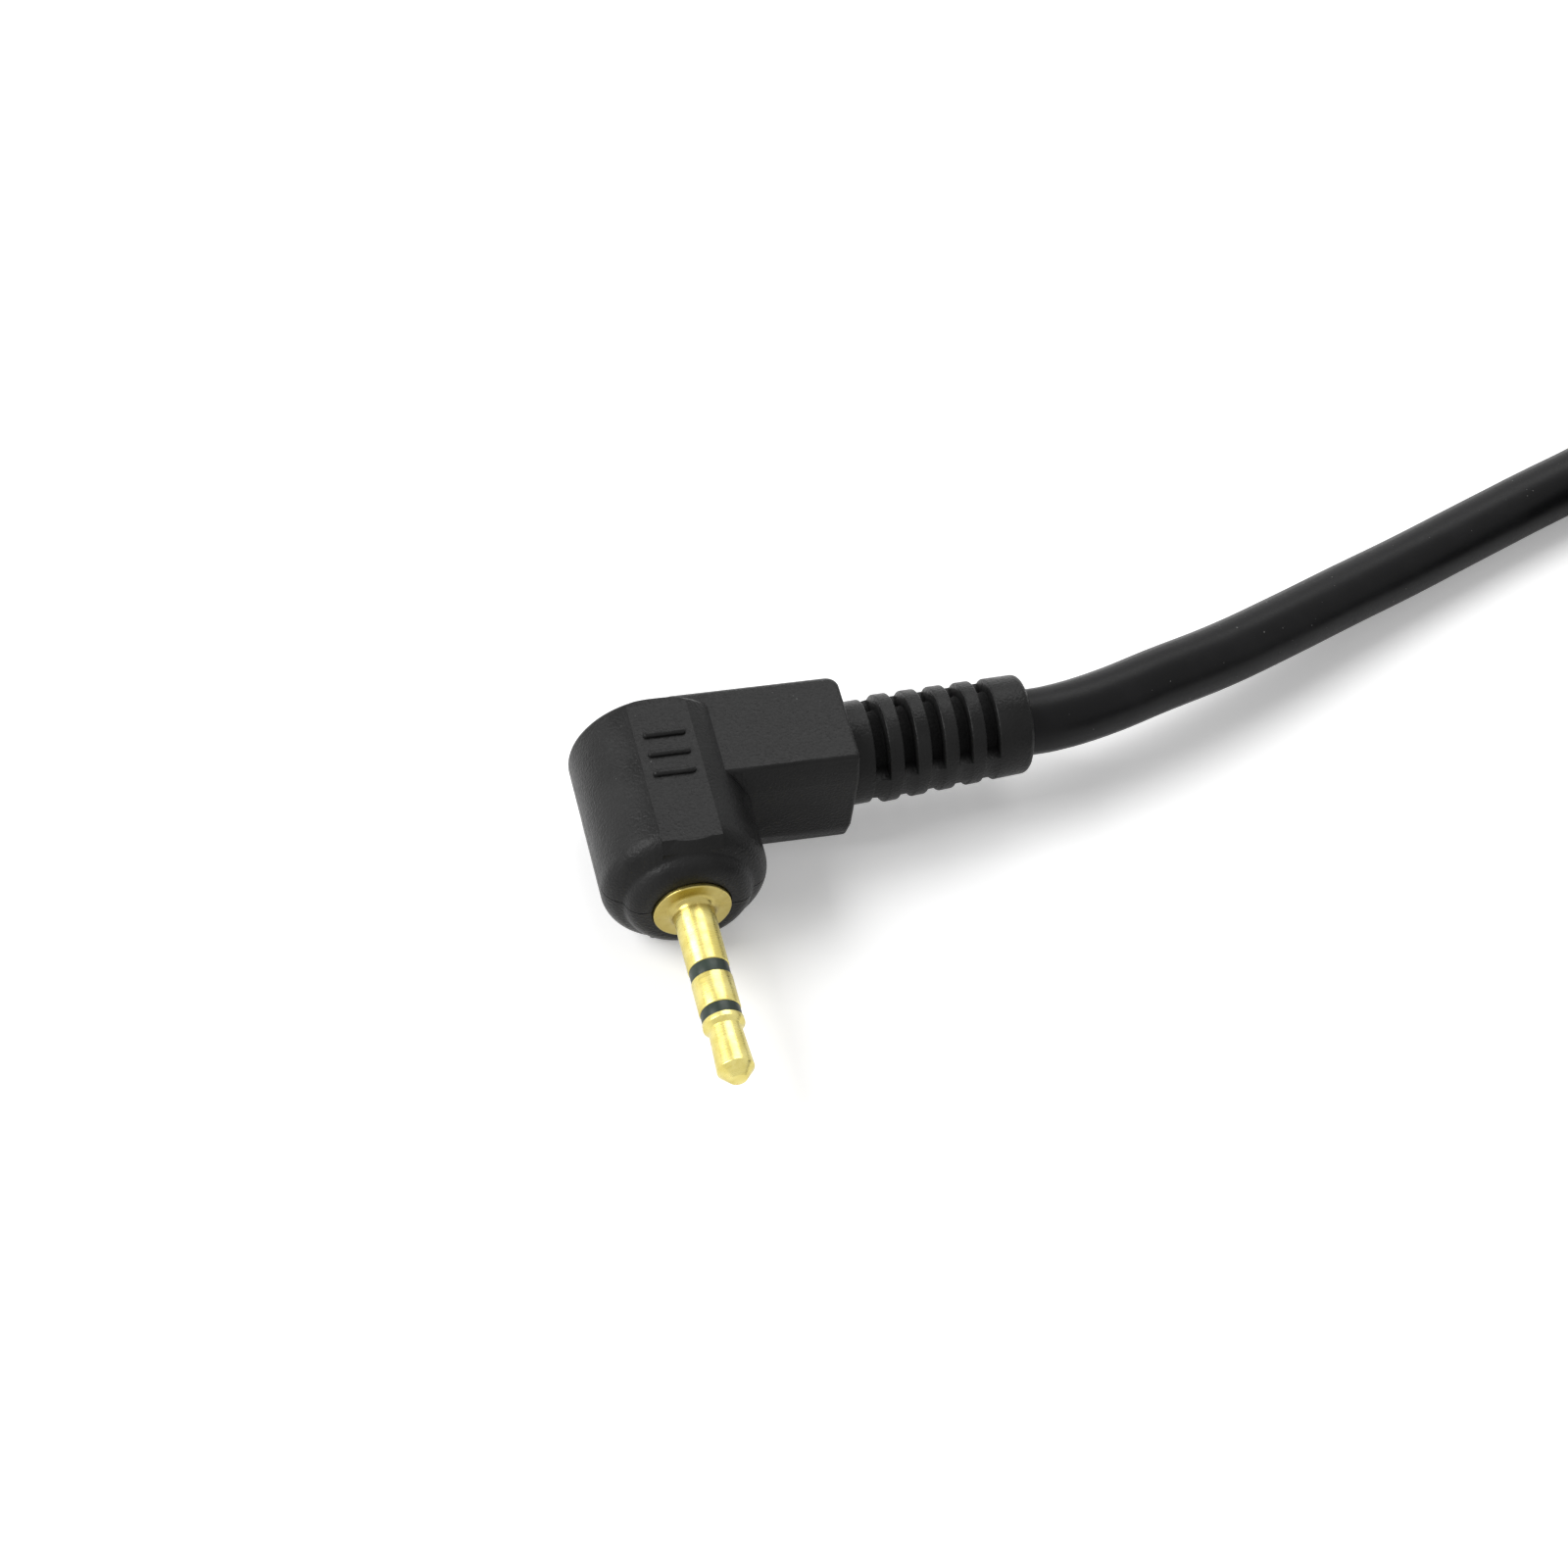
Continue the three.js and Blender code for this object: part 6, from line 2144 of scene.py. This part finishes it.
@dataclass(frozen=True)
class PhotoCamera:
    """The photograph's camera, fitted to the pin's known diameter, in millimetres."""

    place: Point = (-144.291, -100.536, 189.636)
    aim: Point = (-91.456, 39.492, 4.92)
    roll: float = 9.392
    lens: float = 90.33
    sensor: float = 36.0
    nearest: float = 10.0

    def build(self) -> None:
        """Makes the camera and gives it to the scene."""
        data = bpy.data.cameras.new("photo_camera")
        data.lens = self.lens
        data.sensor_width = self.sensor
        data.clip_start = self.nearest * MM
        camera = placed("photo_camera", data)
        facing = (Vector(self.aim) - Vector(self.place)).to_track_quat("-Z", "Y").to_matrix()
        turned = facing @ Matrix.Rotation(math.radians(self.roll), 3, "Z")
        camera.matrix_world = Matrix.Translation(Vector(self.place) * MM) @ turned.to_4x4()
        bpy.context.scene.camera = camera


@dataclass(frozen=True)
class Lamp:
    """A soft square lamp, with its place, its aim and its size in metres and its power in watts."""

    name: str
    place: Point
    power: float
    aim: Point = (-0.09, 0.04, 0)
    size: float = 0.6

    def build(self) -> None:
        """Makes the lamp."""
        data = bpy.data.lights.new(self.name, "AREA")
        data.size = self.size
        data.energy = self.power
        lamp = placed(self.name, data)
        lamp.location = self.place
        lamp.rotation_euler = (Vector(self.aim) - lamp.location).to_track_quat("-Z", "Y").to_euler()


@dataclass
class Studio:
    """A pale paper floor, a plain world and two soft lamps.

    The key lamp stands on the side of the plug that is away from its arm, and a weaker one behind the
    plug. Rays that see or mirror the floor and the world find them white. Those that light the object get
    the paper's own tone and a dim world. Near the object the floor shows the light that falls on it, and
    so the object's shadow, and between the two distances of fade, in millimetres, it turns evenly white.
    """

    floor_radius: float = 2.0
    floor_tone: Tone = (214, 214, 214)
    cloud_tone: Tone = (226, 226, 226)
    cloud_share: float = 0.35
    cloud_size: float = 180
    floor_roughness: float = 0.9
    floor_glow: float = 0.3
    fade: Spot = (300, 700)
    world_strength: float = 0.25
    lamps: tuple[Lamp, ...] = (
        Lamp("key_lamp", (-0.82, 0.16, 0.56), 8.0),
        Lamp("back_lamp", (0.14, 0.65, 0.76), 3.5),
    )

    def _floor(self) -> None:
        shape = bmesh.new()
        bmesh.ops.create_circle(shape, cap_ends=True, segments=96, radius=self.floor_radius)
        mesh = bpy.data.meshes.new("floor")
        shape.to_mesh(mesh)
        shape.free()
        floor = placed("floor", mesh)
        shader = Shader("floor_look")
        shown = shader.shown()
        cloud = shader.noise(self.cloud_size, detail=2).ramp(0.2, 0.8, 0.0, self.cloud_share)
        paper = shader.mix(cloud, colour(self.floor_tone), colour(self.cloud_tone))
        x, y = shader.along(Axis.X), shader.along(Axis.Y)
        glow = (x * x + y * y).root().ramp(*self.fade, self.floor_glow, 1.0)
        shader.dress(
            Base_Color=shader.mix(shown, paper, colour(WHITE)),
            Roughness=self.floor_roughness,
            Emission_Color=shader.mix(shown * glow, colour(BLACK), colour(WHITE)),
            Emission_Strength=1.0,
        )
        mesh.materials.append(shader.material)

    def _world(self) -> None:
        """Makes the world: dim for the lighting, white where it is seen or mirrored."""
        world = bpy.data.worlds.new("studio")
        bpy.context.scene.world = world
        world.use_nodes = True
        nodes = NodeKit(world.node_tree)
        back = nodes.tree.nodes["Background"]
        nodes.feed(back.inputs["Color"], colour(WHITE))
        nodes.feed(back.inputs["Strength"], nodes.shown().ramp(0, 1, self.world_strength, 1.0))

    def build(self) -> None:
        """Makes the floor, the world and the lamps, and sets how colours are shown."""
        self._floor()
        self._world()
        for lamp in self.lamps:
            lamp.build()
        bpy.context.scene.view_settings.view_transform = "Standard"


# ------------------------------------------------------------------------------------------ assembly


CAD_FINISHES: dict[str, Finish] = {
    "inner_plastic": PALE_MOULDING,
    "spring_steel": SPRING_STEEL,
    "contact_bronze": BRONZE,
    "screw_steel": DARK_STEEL,
    "cord_jacket": JACKET,
    "bare_copper": COPPER,
    "white_insulation": WHITE_WIRE,
    "red_insulation": RED_WIRE,
    "shell_plastic": SHELL,
    "button_plastic": BUTTON,
    "soft_rubber": RUBBER,
    "plug_moulding": PLUG,
    "gold_plate": GOLD,
    "band_plastic": BAND,
}


def dress_cad_nodes() -> None:
    """Gives every CAD node the finish of its material slot."""
    for part in frame["record"]["subparts"]:
        node = frame["nodes"][part["node"]]
        finish = CAD_FINISHES[part["material_slot"]]
        node.data.materials.clear()
        node.data.materials.append(finish.material())


def plug_origin() -> Vector:
    """Finds the plug's origin: the pin's axis at the front of its flange.

    Returns:
        The origin in metres.
    """
    low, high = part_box("tip_contact")
    sleeve_low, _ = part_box("sleeve_contact")
    front = sleeve_low.y + JackPin.first_band[0] * MM
    return Vector(((low.x + high.x) / 2, front, (low.z + high.z) / 2))


def main() -> None:
    """Builds the studio, the cord and the pieces on it, and the hand switch."""
    logging.basicConfig(level=logging.INFO, format="%(name)s: %(message)s")
    PhotoCamera().build()
    Studio().build()
    dress_cad_nodes()
    cord = Cord()
    cord_piece = cord.build()
    origin = plug_origin()
    on_cord: list[Piece | str] = [
        PlugBody().build(origin),
        StrainRelief().build(origin),
        *JackPin().build(origin),
        "plug_pin_holder",
        "plug_cord_tail",
        "plug_wire_sleeve",
        "plug_wire_ring",
        "plug_wire_tip",
        SwitchBoot().build(),
        CoilStrap().build(),
        "switch_cord_tail",
    ]
    shells = SwitchShells()
    shells.upper()
    shells.lower()
    CaseScrews().build()
    ReleaseButton().build()
    ReturnSpring().build()


if __name__ == "__main__":
    main()
